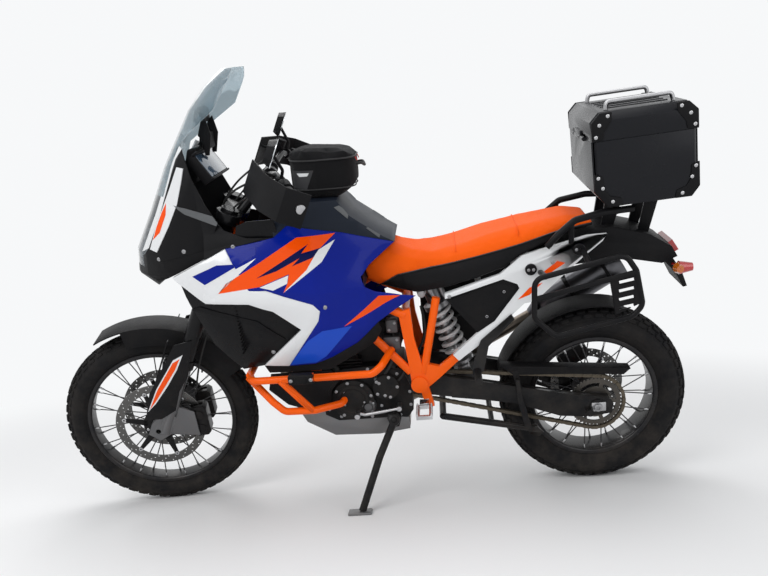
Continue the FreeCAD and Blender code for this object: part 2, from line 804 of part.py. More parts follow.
def make_fork_guards():
    """A long shield down the outside of each leg, folded round its front."""
    outline = [(-0.62, 0.3), (-0.5, 0.0), (0.0, 0.06), (0.36, 0.2), (0.3, 0.42), (0.42, 0.62), (0.2, 1.0),
               (-0.3, 0.9)]
    corners = [(d.guard_width * across, d.guard_low + d.guard_height * up) for across, up in outline]
    inner = d.fork_half + d.fork_outer_radius + d.guard_wall + d.fit_gap
    side = plate(corners, inner, inner + d.guard_wall)
    low, high = d.guard_low + d.guard_height * 0.3, d.guard_low + d.guard_height * 0.9
    front = Part.makeBox(d.guard_wall, inner - d.fork_half, high - low,
                         at(-d.guard_width * 0.55, d.fork_half, low))
    mid = d.guard_low + d.guard_height * 0.35
    lug = rod(at(d.fork_lead, d.fork_half, mid), at(d.fork_lead, inner, mid), d.lever_radius * 2)
    lug = lug.cut(leg(0, d.fork_outer_low, d.fork_inner_radius))
    piece("fork_guards", twin(join(side, front, lug)), FORK)


def caliper(width):
    """A body astride its disc, slotted for it, with two round covers on the outside; X along the body."""
    length, depth = d.caliper_length, d.caliper_depth
    profile = [(-0.5, -0.3), (-0.36, -0.5), (0.36, -0.5), (0.5, -0.3), (0.5, 0.3), (0.4, 0.5), (-0.4, 0.5),
               (-0.5, 0.3)]
    body = plate([(length * x, depth * z) for x, z in profile], -width / 2, width / 2)
    slot = d.disc_thick / 2 + d.running_gap
    body = body.cut(Part.makeBox(2 * length, 2 * slot, depth, at(-length, -slot, -depth * 0.72)))
    pots = [drum(side * length * 0.24, 0, depth * 0.28, 0, width / 2 + d.disc_thick) for side in (-1, 1)]
    pots = [pot.cut(Part.makeBox(4 * length, width / 2, 4 * depth,
                                 at(-2 * length, 0, -2 * depth))) for pot in pots]
    return join(body, *pots)


def astride(disc_radius, y, angle, width):
    """The caliper set over a disc's edge, at an angle from straight up toward the rear."""
    body = caliper(width)
    body.translate(at(0, y, disc_radius - d.caliper_depth * 0.2))
    body.rotate(ORIGIN, ALONG_Y, angle)
    return body


def make_front_calipers():
    piece("front_calipers", twin(astride(d.front_disc_radius, d.front_disc_y, d.caliper_angle,
                                         d.caliper_width)), FORK)


# Frame and engine


def side_frame():
    """The right half of the lattice: long tubes from the head to the pivot plate, and the rear stays."""
    half = d.frame_half
    low, top = on_head(d.clamp_low + d.clamp_thick), on_head(d.clamp_high)
    bottom_joint, top_joint = low + (top - low) * 0.22, low + (top - low) * 0.8
    knee = spot(-0.2, d.frame_knee_half, 0.905)
    mount = spot(-0.235, d.frame_knee_half, 0.655)
    crown = spot(0.147, half, 0.72)
    upper = tube([tuple(top_joint), tuple(knee), tuple(crown)], d.frame_tube, 4 * d.frame_tube)
    lower = tube([tuple(bottom_joint), tuple(mount), tuple(spot(-0.17, half - d.pivot_plate / 2, 0.53))],
                 d.frame_tube, 2 * d.frame_tube)
    brace = rod(mount, knee, d.frame_tube * 0.8)
    brace_back = rod(mount, spot(0.03, (half + d.frame_knee_half) / 2, 0.79), d.frame_tube * 0.8)
    inner, outer = half - d.pivot_plate / 2, half + d.pivot_plate / 2
    mast = plate(seen([(0.126, 0.735), (0.166, 0.745), (0.172, 0.64), (0.2, 0.5), (0.212, 0.44),
                       (0.224, 0.385), (0.196, 0.376), (0.182, 0.44), (0.152, 0.47), (0.146, 0.55)]), inner,
                 outer)
    gusset = plate(seen([(0.2, 0.5), (0.2, 0.545), (0.25, 0.53), (0.318, 0.583), (0.33, 0.56), (0.25, 0.49),
                         (0.2, 0.45)]), inner, outer)
    pivot = spot(0.178, 0, 0.471)
    cap = drum(pivot.x, pivot.z, d.pivot_cap, inner, outer + d.pivot_plate / 2)
    arm = rod(spot(0.039, half, 0.645), spot(0.15, half, 0.515), d.frame_tube * 0.95)
    stay = rod(spot(0.196, half, 0.51), spot(0.256, half, 0.775), d.frame_tube * 0.9)
    return join(upper, lower, brace, brace_back, mast, gusset, cap, arm, stay)


def make_main_frame():
    low, top = on_head(d.clamp_low + d.clamp_thick + d.running_gap), on_head(d.clamp_high - d.running_gap)
    head = rod(low, top, d.head_radius)
    bore = rod(low - (top - low), top + (top - low), d.stem_radius + d.bearing_gap)
    crown = spot(0.147, d.frame_half, 0.72)
    cross = drum(crown.x, crown.z, d.frame_tube * 0.9, -d.frame_half, d.frame_half)
    pivot = spot(0.178, 0, 0.471)
    bolt = drum(pivot.x, pivot.z, d.pivot_bolt, -d.frame_half, d.frame_half)
    frame = join(head, side_frame(), side_frame().mirror(ORIGIN, ALONG_Y), cross, bolt)
    piece("main_frame", frame.cut(bore))


def cylinder_bank(angle, reach):
    """One cylinder of the V: a squared barrel under a wider head, tilted from the crank."""
    barrel = block(-d.bore_depth / 2, 0, 0, d.bore_depth, d.bore_width, reach * 0.72)
    head = block(-d.head_depth / 2, 0, reach * 0.66, d.head_depth, d.bore_width * 1.1, reach * 0.26)
    cover = block(-d.head_depth * 0.4, 0, reach * 0.9, d.head_depth * 0.8, d.bore_width, reach * 0.1)
    bank = join(barrel, head, cover)
    bank.rotate(ORIGIN, ALONG_Y, angle)
    bank.translate(spot(-0.03, 0, 0.42))
    return bank


def make_engine():
    case = plate(seen([(-0.165, 0.36), (-0.12, 0.335), (0.13, 0.335), (0.148, 0.36), (0.148, 0.44),
                       (0.12, 0.51), (0.02, 0.535), (-0.09, 0.53), (-0.165, 0.46)]), -d.engine_half,
                 d.engine_half)
    covers = []
    for along, up, share in ((-0.06, 0.42, 1.0), (0.06, 0.46, 0.62)):
        middle = spot(along, 0, up)
        reach = d.engine_half + d.cover_depth
        covers.append(drum(middle.x, middle.z, d.cover_radius * share, d.engine_half, reach))
    right = spot(-0.02, 0, 0.43)
    clutch = drum(right.x, right.z, d.cover_radius * 1.1, d.engine_half, d.engine_half + d.cover_depth)
    left = [cover.mirror(ORIGIN, ALONG_Y) for cover in covers]
    banks = [cylinder_bank(d.front_bank_angle, d.front_bank_reach),
             cylinder_bank(d.rear_bank_angle, d.rear_bank_reach)]
    engine = join(case, clutch, *banks, *left)
    counter = spot(0.106, 0, 0.462)
    near, far = -d.sprocket_y - d.chain_half - d.chain_gap, -d.sprocket_y + d.chain_half + d.chain_gap
    reach = d.counter_radius + d.chain_height / 2 + d.running_gap
    pocket = join(drum(counter.x, counter.z, reach, near, far),
                  Part.makeBox(2 * reach, far - near, 2.6 * reach,
                               at(counter.x, near, counter.z - 1.6 * reach)))
    drive = drum(counter.x, counter.z, d.counter_radius - d.chain_height / 2 - d.chain_gap, near, far)
    piece("engine", engine.cut(pocket.cut(drive)))


def make_skid_plate():
    """A folded tray under the engine, turned up at the front, with a wing on each side."""
    outline = seen([(-0.3, 0.47), (-0.235, 0.335), (-0.14, 0.276), (0.02, 0.27), (0.13, 0.284), (0.13, 0.33),
                    (0.02, 0.34), (-0.12, 0.36), (-0.2, 0.45)])
    full = plate(outline, -d.skid_half, d.skid_half)
    hollow = [(x + d.skid_wall * 1.4, z + d.skid_wall * 1.2) for x, z in outline[:5]]
    hollow[4] = (hollow[4][0] + d.cut_over, hollow[4][1])
    inside = plate(hollow + seen([(0.15, 0.5), (-0.29, 0.62)]), -d.skid_half + d.skid_wall,
                   d.skid_half - d.skid_wall)
    piece("skid_plate", full.cut(inside))


def make_crash_bars():
    half = d.crash_half
    main = tube(run([(0.092, d.frame_half, 0.6), (0.06, half, 0.585), (0.03, half, 0.562),
                     (-0.2, half, 0.562), (-0.375, half * 0.93, 0.556), (-0.402, half * 0.62, 0.548)]),
                d.crash_radius, d.crash_bend)
    down = tube(run([(-0.402, half * 0.7, 0.548), (-0.317, half * 0.92, 0.474),
                     (-0.281, half * 0.92, 0.436), (-0.183, half * 0.85, 0.426),
                     (-0.096, half * 0.62, 0.419), (-0.08, d.engine_half, 0.43)]), d.crash_radius,
                d.crash_bend)
    link = rod(spot(-0.278, half, 0.56), spot(-0.19, half * 0.86, 0.427), d.crash_radius)
    cross = rod(spot(-0.402, -half * 0.64, 0.548), spot(-0.402, half * 0.64, 0.548), d.crash_radius)
    clamp = rod(spot(-0.244, half, 0.562), spot(-0.165, half, 0.562), d.crash_radius * 1.35)
    side = join(main, down, link, clamp)
    piece("crash_bars", join(side, side.mirror(ORIGIN, ALONG_Y), cross))


# Bodywork: panels are cut from one faceted form whose half widths are shares of the body's

FORM_HEIGHT_SHARES = (0.5, 0.6, 0.72, 0.85, 0.96, 1.05, 1.13)
FORM_WIDTH_SHARES = (
    (-0.78, (0.24, 0.28, 0.34, 0.4, 0.38, 0.32, 0.24)),
    (-0.62, (0.48, 0.6, 0.7, 0.76, 0.72, 0.6, 0.44)),
    (-0.46, (0.6, 0.74, 0.86, 0.94, 0.89, 0.74, 0.56)),
    (-0.3, (0.66, 0.82, 0.96, 1.05, 0.96, 0.8, 0.6)),
    (-0.12, (0.68, 0.84, 0.96, 1.01, 0.86, 0.7, 0.52)),
    (0.02, (0.6, 0.76, 0.84, 0.82, 0.69, 0.56, 0.44)),
    (0.12, (0.52, 0.6, 0.64, 0.62, 0.53, 0.46, 0.38)),
    (0.22, (0.48, 0.52, 0.54, 0.52, 0.45, 0.4, 0.34)),
)


def form(inset=0.0):
    rings = []
    for along, widths in FORM_WIDTH_SHARES:
        right = [spot(along, d.body_half * width - inset, up) for up,
                 width in zip(FORM_HEIGHT_SHARES, widths)]
        left = [at(point.x, -point.y, point.z) for point in reversed(right)]
        rings.append(Part.makePolygon(right + left + right[:1]))
    return Part.makeLoft(rings, True, True)


BODY = {inset: form(inset) for inset in (0.0, d.panel_wall, d.band_depth, d.band_depth + d.shroud_wall)}


def panel(shares, outer, inner):
    """The form's skin between two depths, within an outline of the side view, on both sides."""
    window = plate(seen(shares), 0, 2 * d.body_half)
    skin = BODY[outer].common(window).cut(BODY[inner])
    return twin(solids_only(skin))


BAND_TOP_SHARES = [(-0.594, 0.919), (-0.401, 1.008), (-0.335, 0.875), (-0.28, 0.873), (-0.137, 0.813),
                   (-0.117, 0.788), (-0.127, 0.754), (-0.251, 0.59)]
BAND_LOW_SHARES = [(-0.335, 0.596), (-0.242, 0.678), (-0.187, 0.728), (-0.268, 0.8), (-0.342, 0.829),
                   (-0.489, 0.834), (-0.582, 0.908)]
BLUE_TOP_SHARES = [(-0.401, 1.008), (-0.243, 1.03), (-0.201, 1.06), (-0.028, 1.022), (0.134, 0.971)]
BLUE_BACK_SHARES = [(0.047, 0.911), (0.022, 0.879), (0.03, 0.845), (0.06, 0.824), (0.141, 0.796),
                    (0.19, 0.786), (0.061, 0.72), (-0.012, 0.659), (-0.097, 0.617), (-0.163, 0.593)]


def make_side_panels():
    piece("side_panels", panel(BLUE_TOP_SHARES + BLUE_BACK_SHARES + BAND_TOP_SHARES[:1:-1], 0.0,
                               d.panel_wall))
    piece("shroud_bands", panel(BAND_TOP_SHARES + BAND_LOW_SHARES, 0.0, d.band_depth))
    shroud = [(-0.582, 0.908), (-0.556, 0.82), (-0.5, 0.67), (-0.42, 0.57), (-0.26, 0.6), (-0.16, 0.75),
              (-0.17, 0.8), (-0.36, 0.87)]
    piece("radiator_shrouds", panel(shroud, d.band_depth, d.band_depth + d.shroud_wall))
    piece("belly_panels", panel([(-0.251, 0.59), (-0.163, 0.593), (-0.097, 0.617), (-0.012, 0.659),
                                 (0.061, 0.72), (0.07, 0.69), (0.045, 0.652), (-0.116, 0.565),
                                 (-0.324, 0.565), (-0.335, 0.596)], 0.0, d.panel_wall))


def make_radiators():
    core = plate(seen([(-0.396, 0.86), (-0.396, 0.64), (-0.362, 0.64), (-0.362, 0.86)]), d.radiator_inner,
                 d.body_half)
    piece("radiators", twin(core.common(BODY[d.band_depth + d.shroud_wall])))


def make_tank():
    """The fuel tank: its sides fill the form under the panels, and its cover rises between them."""
    low = plate(seen([(-0.235, 0.8), (-0.243, 1.03), (-0.201, 1.06), (-0.028, 1.022), (0.134, 0.971),
                      (0.047, 0.911), (0.022, 0.879), (0.03, 0.845), (-0.02, 0.8)]), -d.body_half,
                d.body_half)
    cover = plate(seen([(-0.243, 1.03), (-0.245, 1.07), (-0.215, 1.122), (-0.042, 1.119), (-0.002, 1.068),
                        (0.1, 0.992), (0.134, 0.971), (-0.028, 1.022), (-0.201, 1.06)]), -d.body_half,
                  d.body_half)
    tank = join(BODY[d.panel_wall].common(low), BODY[0.0].common(cover))
    piece("fuel_tank", tank)


# Nose: sections level with the ground, from the chin up to the top of the screen

NOSE_SECTION_SHARES = ((0.86, -0.705, 0.8), (0.914, -0.76, 0.9), (0.995, -0.748, 1.0), (1.112, -0.681, 1.0),
                       (1.257, -0.605, 1.0), (1.425, -0.496, 1.0), (1.491, -0.435, 0.95),
                       (1.543, -0.367, 0.82), )
NOSE_CURVE_SHARES = ((0.0, 0.14), (0.02, 0.38), (0.06, 0.65), (0.13, 0.86), (0.28, 1.0))


def nose_form(inset):
    rings = []
    for up, front, width in NOSE_SECTION_SHARES:
        right = [at(along(front + back) + inset, d.screen_half * width * half - inset, UP * up)
                 for back, half in NOSE_CURVE_SHARES]
        left = [at(point.x, -point.y, point.z) for point in reversed(right)]
        rings.append(Part.makePolygon(right + left + right[:1]))
    return Part.makeLoft(rings, True, True)


def make_nose():
    outside, inside = nose_form(0.0), nose_form(d.cowl_wall)
    pane = plate(seen([(-0.8, 1.17), (-0.6, 1.17), (-0.536, 1.32), (-0.462, 1.374), (-0.381, 1.428),
                       (-0.33, 1.511), (-0.3, 1.6), (-0.8, 1.6)]), -d.body_half, d.body_half)
    skin = outside.cut(inside)
    piece("windscreen", solids_only(skin.common(pane)))
    stripe = plate(seen([(-0.675, 1.009), (-0.617, 1.115), (-0.539, 1.285), (-0.512, 1.314), (-0.53, 1.33),
                         (-0.536, 1.32), (-0.6, 1.17), (-0.66, 1.17), (-0.78, 0.96)]), d.lamp_half,
                   d.body_half)
    piece("nose_panels", twin(solids_only(skin.common(stripe))))
    lamp = plate(seen([(-0.8, 0.94), (-0.8, 1.17), (-0.6, 1.17), (-0.66, 1.06), (-0.66, 0.94)]),
                 -d.lamp_half, d.lamp_half)
    piece("headlight", outside.common(lamp))
    cheek = plate(seen([(-0.675, 1.009), (-0.617, 1.115), (-0.539, 1.285), (-0.512, 1.314), (-0.484, 1.226),
                        (-0.45, 1.14), (-0.4, 1.06), (-0.33, 1.035), (-0.243, 1.03), (-0.401, 1.008),
                        (-0.594, 0.919), (-0.64, 0.9), (-0.72, 0.86), (-0.78, 0.94), (-0.7, 0.985)]),
                  d.lamp_half * 0.5, d.body_half)
    cheeks = skin.common(cheek)
    rear = plate(seen([(-0.47, 1.13), (-0.4, 1.06), (-0.33, 1.035), (-0.243, 1.03), (-0.401, 1.008),
                       (-0.47, 0.977)]), 0, d.body_half)
    wings = BODY[0.0].cut(BODY[d.panel_wall]).common(rear)
    chin = outside.common(plate(seen([(-0.8, 0.94), (-0.66, 0.94), (-0.66, 0.9), (-0.7, 0.855),
                                      (-0.8, 0.855)]), -d.lamp_half, d.lamp_half))
    piece("nose_cowl", solids_only(join(chin, twin(solids_only(cheeks)), twin(solids_only(wings)))))


def make_stay():
    """The bracket from the steering head that carries the lamp, the screen and the instruments."""
    head = on_head(blend(d.clamp_low, d.clamp_high, 0.52))
    tube_wall = rod(on_head(d.clamp_low), on_head(d.clamp_high), d.head_radius)
    arm = rod(head, spot(-0.645, 0, 1.02), d.stay_radius).cut(tube_wall)
    pad = plate(seen([(-0.66, 1.06), (-0.66, 0.98), (-0.645, 0.98), (-0.645, 1.06)]), -d.lamp_half,
                d.lamp_half)
    mast = plate(seen([(-0.645, 1.0), (-0.632, 1.0), (-0.54, 1.2), (-0.5, 1.25), (-0.515, 1.26),
                       (-0.56, 1.21)]), -d.mast_half, d.mast_half)
    piece("cockpit_stay", join(arm, pad, mast))


def make_dash():
    body = Part.makeBox(d.dash_depth, d.dash_width, d.dash_height,
                        at(-d.dash_depth / 2, -d.dash_width / 2, -d.dash_height / 2))
    body.rotate(ORIGIN, ALONG_Y, d.dash_tilt_angle)
    body.translate(spot(-0.47, 0, 1.245))
    holder = tube(run([(-0.49, 0, 1.27), (-0.475, 0, 1.34), (-0.455, 0, 1.4)]), d.lever_radius, d.grip_radius)
    card = Part.makeBox(d.mast_wall, d.dash_width * 0.5, d.dash_height * 0.5,
                          spot(-0.455, 0, 1.385) + at(0, -d.dash_width * 0.25, 0))
    piece("dash", join(body, holder, card))


# Seat, rear frame and tail

SEAT_TOP_SHARES = ((0.142, 0.945), (0.191, 0.927), (0.255, 0.922), (0.338, 0.937), (0.457, 0.969),
                   (0.555, 0.985), (0.677, 1.004), (0.728, 1.005), (0.769, 0.997), (0.784, 0.977))
SEAT_LOW_SHARES = ((0.784, 0.965), (0.723, 0.962), (0.536, 0.895), (0.492, 0.858), (0.412, 0.835),
                   (0.297, 0.803), (0.193, 0.78), (0.141, 0.796), (0.06, 0.824), (0.03, 0.845),
                   (0.022, 0.879), (0.047, 0.911), (0.134, 0.971))


def seat_ring(along, low, top, half):
    right = [(half * 0.82, low), (half * 0.98, blend(low, top, 0.35)), (half, blend(low, top, 0.62)),
             (half * 0.9, blend(low, top, 0.88)), (half * 0.6, top)]
    points = [spot(along, y, z) for y, z in right]
    points += [at(point.x, -point.y, point.z) for point in reversed(points)]
    return Part.makePolygon(points + points[:1])


def make_seat():
    """One long seat, lofted through its sections: narrow at the tank and wide under the rider."""
    rings = [(0.02, 0.76, 1.0, d.seat_nose_half * 1.2), (0.14, 0.76, 0.947, d.seat_nose_half * 1.3),
             (0.2, 0.76, 0.926, d.seat_nose_half * 1.45), (0.3, 0.76, 0.93, d.seat_half),
             (0.42, 0.76, 0.96, d.seat_half), (0.56, 0.8, 0.986, d.seat_half * 0.94),
             (0.7, 0.9, 1.005, d.seat_tail_half), (0.8, 0.93, 0.99, d.seat_tail_half * 0.9)]
    whole = Part.makeLoft([seat_ring(*ring) for ring in rings], True, True)
    outline = plate(seen(list(SEAT_TOP_SHARES) + list(SEAT_LOW_SHARES)), -2 * d.seat_half, 2 * d.seat_half)
    seat = whole.common(outline)
    piece("seat", solids_only(seat))


def make_subframe():
    rail = seen([(0.285, 0.772), (0.285, 0.79), (0.469, 0.843), (0.492, 0.862), (0.542, 0.9), (0.75, 0.95),
                 (0.813, 0.952), (0.8, 0.93), (0.729, 0.874), (0.642, 0.796), (0.581, 0.743),
                 (0.545, 0.738), (0.393, 0.605), (0.318, 0.55), (0.3, 0.572), (0.386, 0.645),
                 (0.445, 0.682), (0.531, 0.79), (0.524, 0.806), (0.478, 0.826)])
    inner, outer = d.rail_half, d.rail_half + d.rail_wall
    side = plate(rail, inner, outer)
    front = seen([(0.28, 0.768), (0.24, 0.76), (0.24, 0.78), (0.285, 0.79)])
    tube_mount = plate(front, inner - d.rail_wall / 2, outer - d.rail_wall / 2)
    bars = []
    for along, up in ((0.4, 0.8), (0.6, 0.86), (0.77, 0.93)):
        middle = spot(along, 0, up)
        bars.append(drum(middle.x, middle.z, d.frame_tube * 0.7, -inner - d.fit_gap, inner + d.fit_gap))
    piece("subframe", join(side, side.mirror(ORIGIN, ALONG_Y), *bars))
    infill = plate(seen([(0.285, 0.772), (0.478, 0.826), (0.524, 0.806), (0.531, 0.79), (0.445, 0.682),
                         (0.386, 0.645)]), inner, inner + d.infill_wall)
    piece("side_covers", twin(infill))


def make_tail():
    """The black tail: a tapering tray under the seat's end, and the hanger for the number plate."""
    tray = plate(seen([(0.58, 0.885), (0.75, 0.945), (0.83, 0.965), (0.958, 0.93), (1.03, 0.885),
                       (1.05, 0.85), (1.0, 0.83), (0.86, 0.86), (0.7, 0.845), (0.6, 0.79)]), -d.tail_half,
                 d.tail_half)
    hanger = plate(seen([(1.0, 0.845), (1.035, 0.85), (1.075, 0.79), (1.095, 0.735), (1.082, 0.732),
                         (1.055, 0.785)]), -d.tail_half * 0.7, d.tail_half * 0.7)
    piece("tail_unit", join(tray, hanger))
    lamp = plate(seen([(1.032, 0.885), (1.052, 0.85), (1.068, 0.858), (1.046, 0.893)]), -d.tail_half * 0.55,
                 d.tail_half * 0.55)
    stem = rod(spot(1.045, d.tail_half * 0.7, 0.815), spot(1.06, d.tail_half * 1.2, 0.82), d.lever_radius)
    head = Part.makeCone(d.pod_radius, d.pod_radius * 0.6, 2 * d.pod_radius,
                         spot(1.045, d.tail_half * 1.25, 0.82), ALONG_X)
    piece("rear_lamps", Part.makeCompound([lamp, twin(join(stem, head))]))


RACK_LEG_SHARES = (
    ((0.81, 0.95), (0.85, 0.955), (0.88, 1.047), (0.825, 1.043)),
    ((0.93, 0.925), (0.962, 0.915), (1.0, 1.054), (0.955, 1.051)),
)


def tilted(shape):
    """The luggage stands on a plate that rises a little toward the rear."""
    shape.rotate(ORIGIN, ALONG_Y, d.case_tilt_angle)
    shape.translate(spot(0.768, 0, 1.045))
    return shape


def luggage_plate():
    """A flat plate with four holes on a circle, drawn level, its top at Z = 0."""
    start = d.case_length * 0.14
    base = block(start, 0, -d.rack_plate_wall, d.rack_plate_length, d.rack_plate_width, d.rack_plate_wall)
    ring = d.rack_bolt_ring / 2
    count = int(d.rack_bolts)
    for index in range(count):
        turn = 2 * math.pi * (index + 0.5) / count
        hole = at(start + d.rack_plate_length / 2 + ring * math.cos(turn), ring * math.sin(turn), -d.cut_over)
        base = base.cut(Part.makeCylinder(d.rack_bolt_radius, 2 * d.cut_over, hole))
    return base


def make_luggage_rack():
    rail = tube(run([(0.62, d.rail_half + d.rail_wall + d.grab_radius, 0.925), (0.66, d.grab_half, 0.965),
                     (0.71, d.grab_half, 1.005), (0.8, d.grab_half * 0.95, 1.022),
                     (0.9, d.grab_half * 0.8, 1.022)]), d.grab_radius, 3 * d.grab_radius)
    foot = rod(spot(0.7, d.rail_half + d.rail_wall, 0.93), spot(0.7, d.grab_half, 0.998), d.grab_radius * 0.8)
    side = join(rail, foot)
    plate_low = tilted(luggage_plate())
    near, far = d.rack_leg_half, d.rack_leg_half + d.rack_leg_wall
    legs = [plate(seen(shares), near, far) for shares in RACK_LEG_SHARES]
    cross = rod(spot(0.845, -d.grab_half * 0.88, 1.018), spot(0.845, d.grab_half * 0.88, 1.018),
                d.grab_radius * 0.8)
    mirrored = [thing.mirror(ORIGIN, ALONG_Y) for thing in legs + [side]]
    piece("luggage_rack", join(plate_low, side, cross, *legs, *mirrored))


def knuckle(start_share, end_share, radius):
    """A stretch of the lid's hinge, given by shares of the case's width."""
    low, high = d.case_width * start_share, d.case_width * end_share
    return drum(-d.hinge_radius * 0.6, d.case_height + d.lid_gap / 2, radius, low, high)


def make_top_case():
    length, half, height, wall = d.case_length, d.case_width / 2, d.case_height, d.case_wall
    corner = d.case_corner
    side = [(0, corner * 1.6), (length * 0.12, 0), (length * 0.92, 0), (length, corner), (length, height),
            (0, height)]
    body = plate(side, -half, half)
    upright = [edge for edge in body.Edges if abs(edge.tangentAt(edge.FirstParameter).y) < 0.1
               and edge.BoundBox.ZLength > height * 0.6]
    body = body.makeChamfer(corner * 0.5, upright)
    inner = plate([(wall, corner * 1.6), (length * 0.12 + wall * 0.4, wall), (length * 0.92, wall),
                   (length - wall, corner), (length - wall, height + wall), (wall, height + wall)],
                  -half + wall * 2, half - wall * 2)
    wide, narrow = d.hinge_radius, d.hinge_pin
    swept = knuckle(-0.13, 0.13, wide + d.running_gap)
    ends = join(knuckle(-0.25, -0.14, wide), knuckle(0.14, 0.25, wide), knuckle(-0.25, 0.25, narrow))
    case = join(body.cut(inner).cut(swept), ends)
    piece("top_case", tilted(case))
    low = height + d.lid_gap
    top = low + d.lid_height
    rise = corner * 0.9
    lid = plate([(0, low), (length, low), (length, top - rise), (length - rise, top), (rise, top),
                 (0, top - rise)], -half, half)
    upper = [edge for edge in lid.Edges if edge.BoundBox.ZMax > top - d.lid_gap]
    ends = [edge for edge in upper if abs(edge.tangentAt(edge.FirstParameter).x) > 0.6]
    lid = lid.makeChamfer(rise * 0.9, ends)
    cavity = plate([(wall, low - wall), (length - wall, low - wall),
                    (length - wall, top - rise - wall * 0.4), (length - rise - wall * 0.4, top - wall),
                    (rise + wall * 0.4, top - wall), (wall, top - rise - wall * 0.4)], -half + rise,
                   half - rise)
    lid = lid.cut(cavity)
    rails = []
    for way in (-1, 1):
        y = way * half * 0.72
        rails.append(tube([(length * 0.18, y, top - wall / 2), (length * 0.2, y, top + d.lid_rail_rise),
                           (length * 0.8, y, top + d.lid_rail_rise), (length * 0.82, y, top - wall / 2)],
                          d.lid_rail_radius, d.lid_rail_rise * 0.5))
    middle = knuckle(-0.12, 0.12, wide)
    shell = lid.cut(knuckle(-0.26, 0.26, wide + d.running_gap)).cut(knuckle(-0.12, 0.12, wide))
    arm = block(-wide, 0, height + d.lid_gap / 2, wide + 3 * wall, d.case_width * 0.24,
                wide * 2 + d.running_gap)
    hinge = join(middle, arm).cut(knuckle(-0.5, 0.5, narrow + d.fit_gap))
    piece("case_lid", tilted(join(shell, hinge, *rails)))


def make_tank_bag():
    nose, half = d.bag_nose_half, d.bag_half
    plan = [(-0.196, -nose), (-0.135, -half), (0.01, -half * 0.9), (0.03, -half * 0.6), (0.03, half * 0.6),
            (0.01, half * 0.9), (-0.135, half), (-0.196, nose)]
    corners = [spot(x, y, 1.1) for x, y in plan]
    tall = Part.Face(Part.makePolygon(corners + corners[:1])).extrude(at(0, 0, d.bag_height))
    outline = plate(seen([(-0.21, 1.118), (-0.206, 1.2), (-0.196, 1.27), (-0.15, 1.281), (0.0, 1.27),
                          (0.03, 1.25), (0.033, 1.16), (-0.03, 1.118)]), -half, half)
    piece("tank_bag", tall.common(outline))


def make_pannier_racks():
    half = d.pannier_half
    rear = run([(0.845, half, 0.912), (0.878, half, 0.86), (0.9, half, 0.746), (0.868, half, 0.712)])
    front = run([(0.63, half, 0.66), (0.562, half, 0.727), (0.566, half, 0.855)])
    top_seam = tuple((at(*rear[0]) + at(*front[-1])) / 2)
    low_seam = tuple((at(*rear[-1]) + at(*front[0])) / 2)
    ring = [tube(route, d.pannier_radius, d.pannier_bend)
            for route in ([top_seam] + rear + [low_seam], [low_seam] + front + [top_seam])]
    middle = rod(spot(0.566, half, 0.79), spot(0.878, half, 0.855), d.pannier_radius)
    ladder = plate(seen([(0.795, 0.845), (0.872, 0.86), (0.892, 0.755), (0.815, 0.722)]),
                   half - d.peg_wall / 3, half + d.peg_wall / 3)
    slots = []
    first = plate(seen([(0.824, 0.832), (0.87, 0.84), (0.872, 0.828), (0.826, 0.82)]), half - d.cut_over,
                  half + d.cut_over)
    for step in range(int(d.ladder_slots)):
        slots.append(first.translated(at(0, 0, -step * d.ladder_pitch)))
    for slot in slots:
        ladder = ladder.cut(slot)
    front_stay = rod(spot(0.6, d.rail_half + d.rail_wall, 0.84), spot(0.6, half, 0.861), d.pannier_radius)
    back_stay = rod(spot(0.735, d.rail_half + d.rail_wall, 0.91), spot(0.735, half, 0.889), d.pannier_radius)
    piece("pannier_racks", twin(join(*ring, middle, ladder, front_stay, back_stay)))


# Swing arm, drive and suspension

def make_swing_arm():
    inner, outer = d.arm_half - d.arm_wall / 2, d.arm_half + d.arm_wall / 2
    side = seen([(0.15, 0.48), (0.178, 0.502), (0.24, 0.49), (0.45, 0.44), (0.7, 0.385), (0.83, 0.365),
                 (0.845, 0.34), (0.84, 0.305), (0.75, 0.296), (0.66, 0.305), (0.5, 0.366), (0.208, 0.42),
                 (0.16, 0.45)])
    arm = plate(side, inner, outer)
    slot = plate([(REAR_AXLE.x - d.axle_radius * 2, REAR_AXLE.z - d.axle_radius),
                  (REAR_AXLE.x + d.axle_radius * 2, REAR_AXLE.z - d.axle_radius),
                  (REAR_AXLE.x + d.axle_radius * 2, REAR_AXLE.z + d.axle_radius),
                  (REAR_AXLE.x - d.axle_radius * 2, REAR_AXLE.z + d.axle_radius)], inner, outer)
    bridge = plate(seen([(0.285, 0.39), (0.38, 0.375), (0.4, 0.4), (0.39, 0.445), (0.3, 0.458)]), -inner,
                   inner)
    pivot = spot(0.178, 0, 0.471)
    hole = drum(pivot.x, pivot.z, d.pivot_bolt, -2 * outer, 2 * outer)
    spool = join(drum(REAR_AXLE.x - d.arm_wall, REAR_AXLE.z - d.arm_wall * 0.5, d.spool_radius, outer,
                      outer + d.spool_length), drum(REAR_AXLE.x - d.arm_wall,
                                                    REAR_AXLE.z - d.arm_wall * 0.5, d.spool_head,
                                                    outer + d.spool_length * 0.7, outer + d.spool_length))
    half = join(arm.cut(slot), spool)
    axle_out = outer + d.rim_wall * 2
    axle = drum(REAR_AXLE.x, REAR_AXLE.z, d.axle_radius, -axle_out, axle_out)
    washer = drum(REAR_AXLE.x, REAR_AXLE.z, d.axle_radius * 2.2, inner, axle_out - d.rim_wall)
    bore = drum(REAR_AXLE.x, REAR_AXLE.z, d.axle_bore, -axle_out, axle_out)
    arm = join(half, half.mirror(ORIGIN, ALONG_Y), bridge, axle, washer, washer.mirror(ORIGIN, ALONG_Y))
    piece("swing_arm", arm.cut(hole).cut(bore))


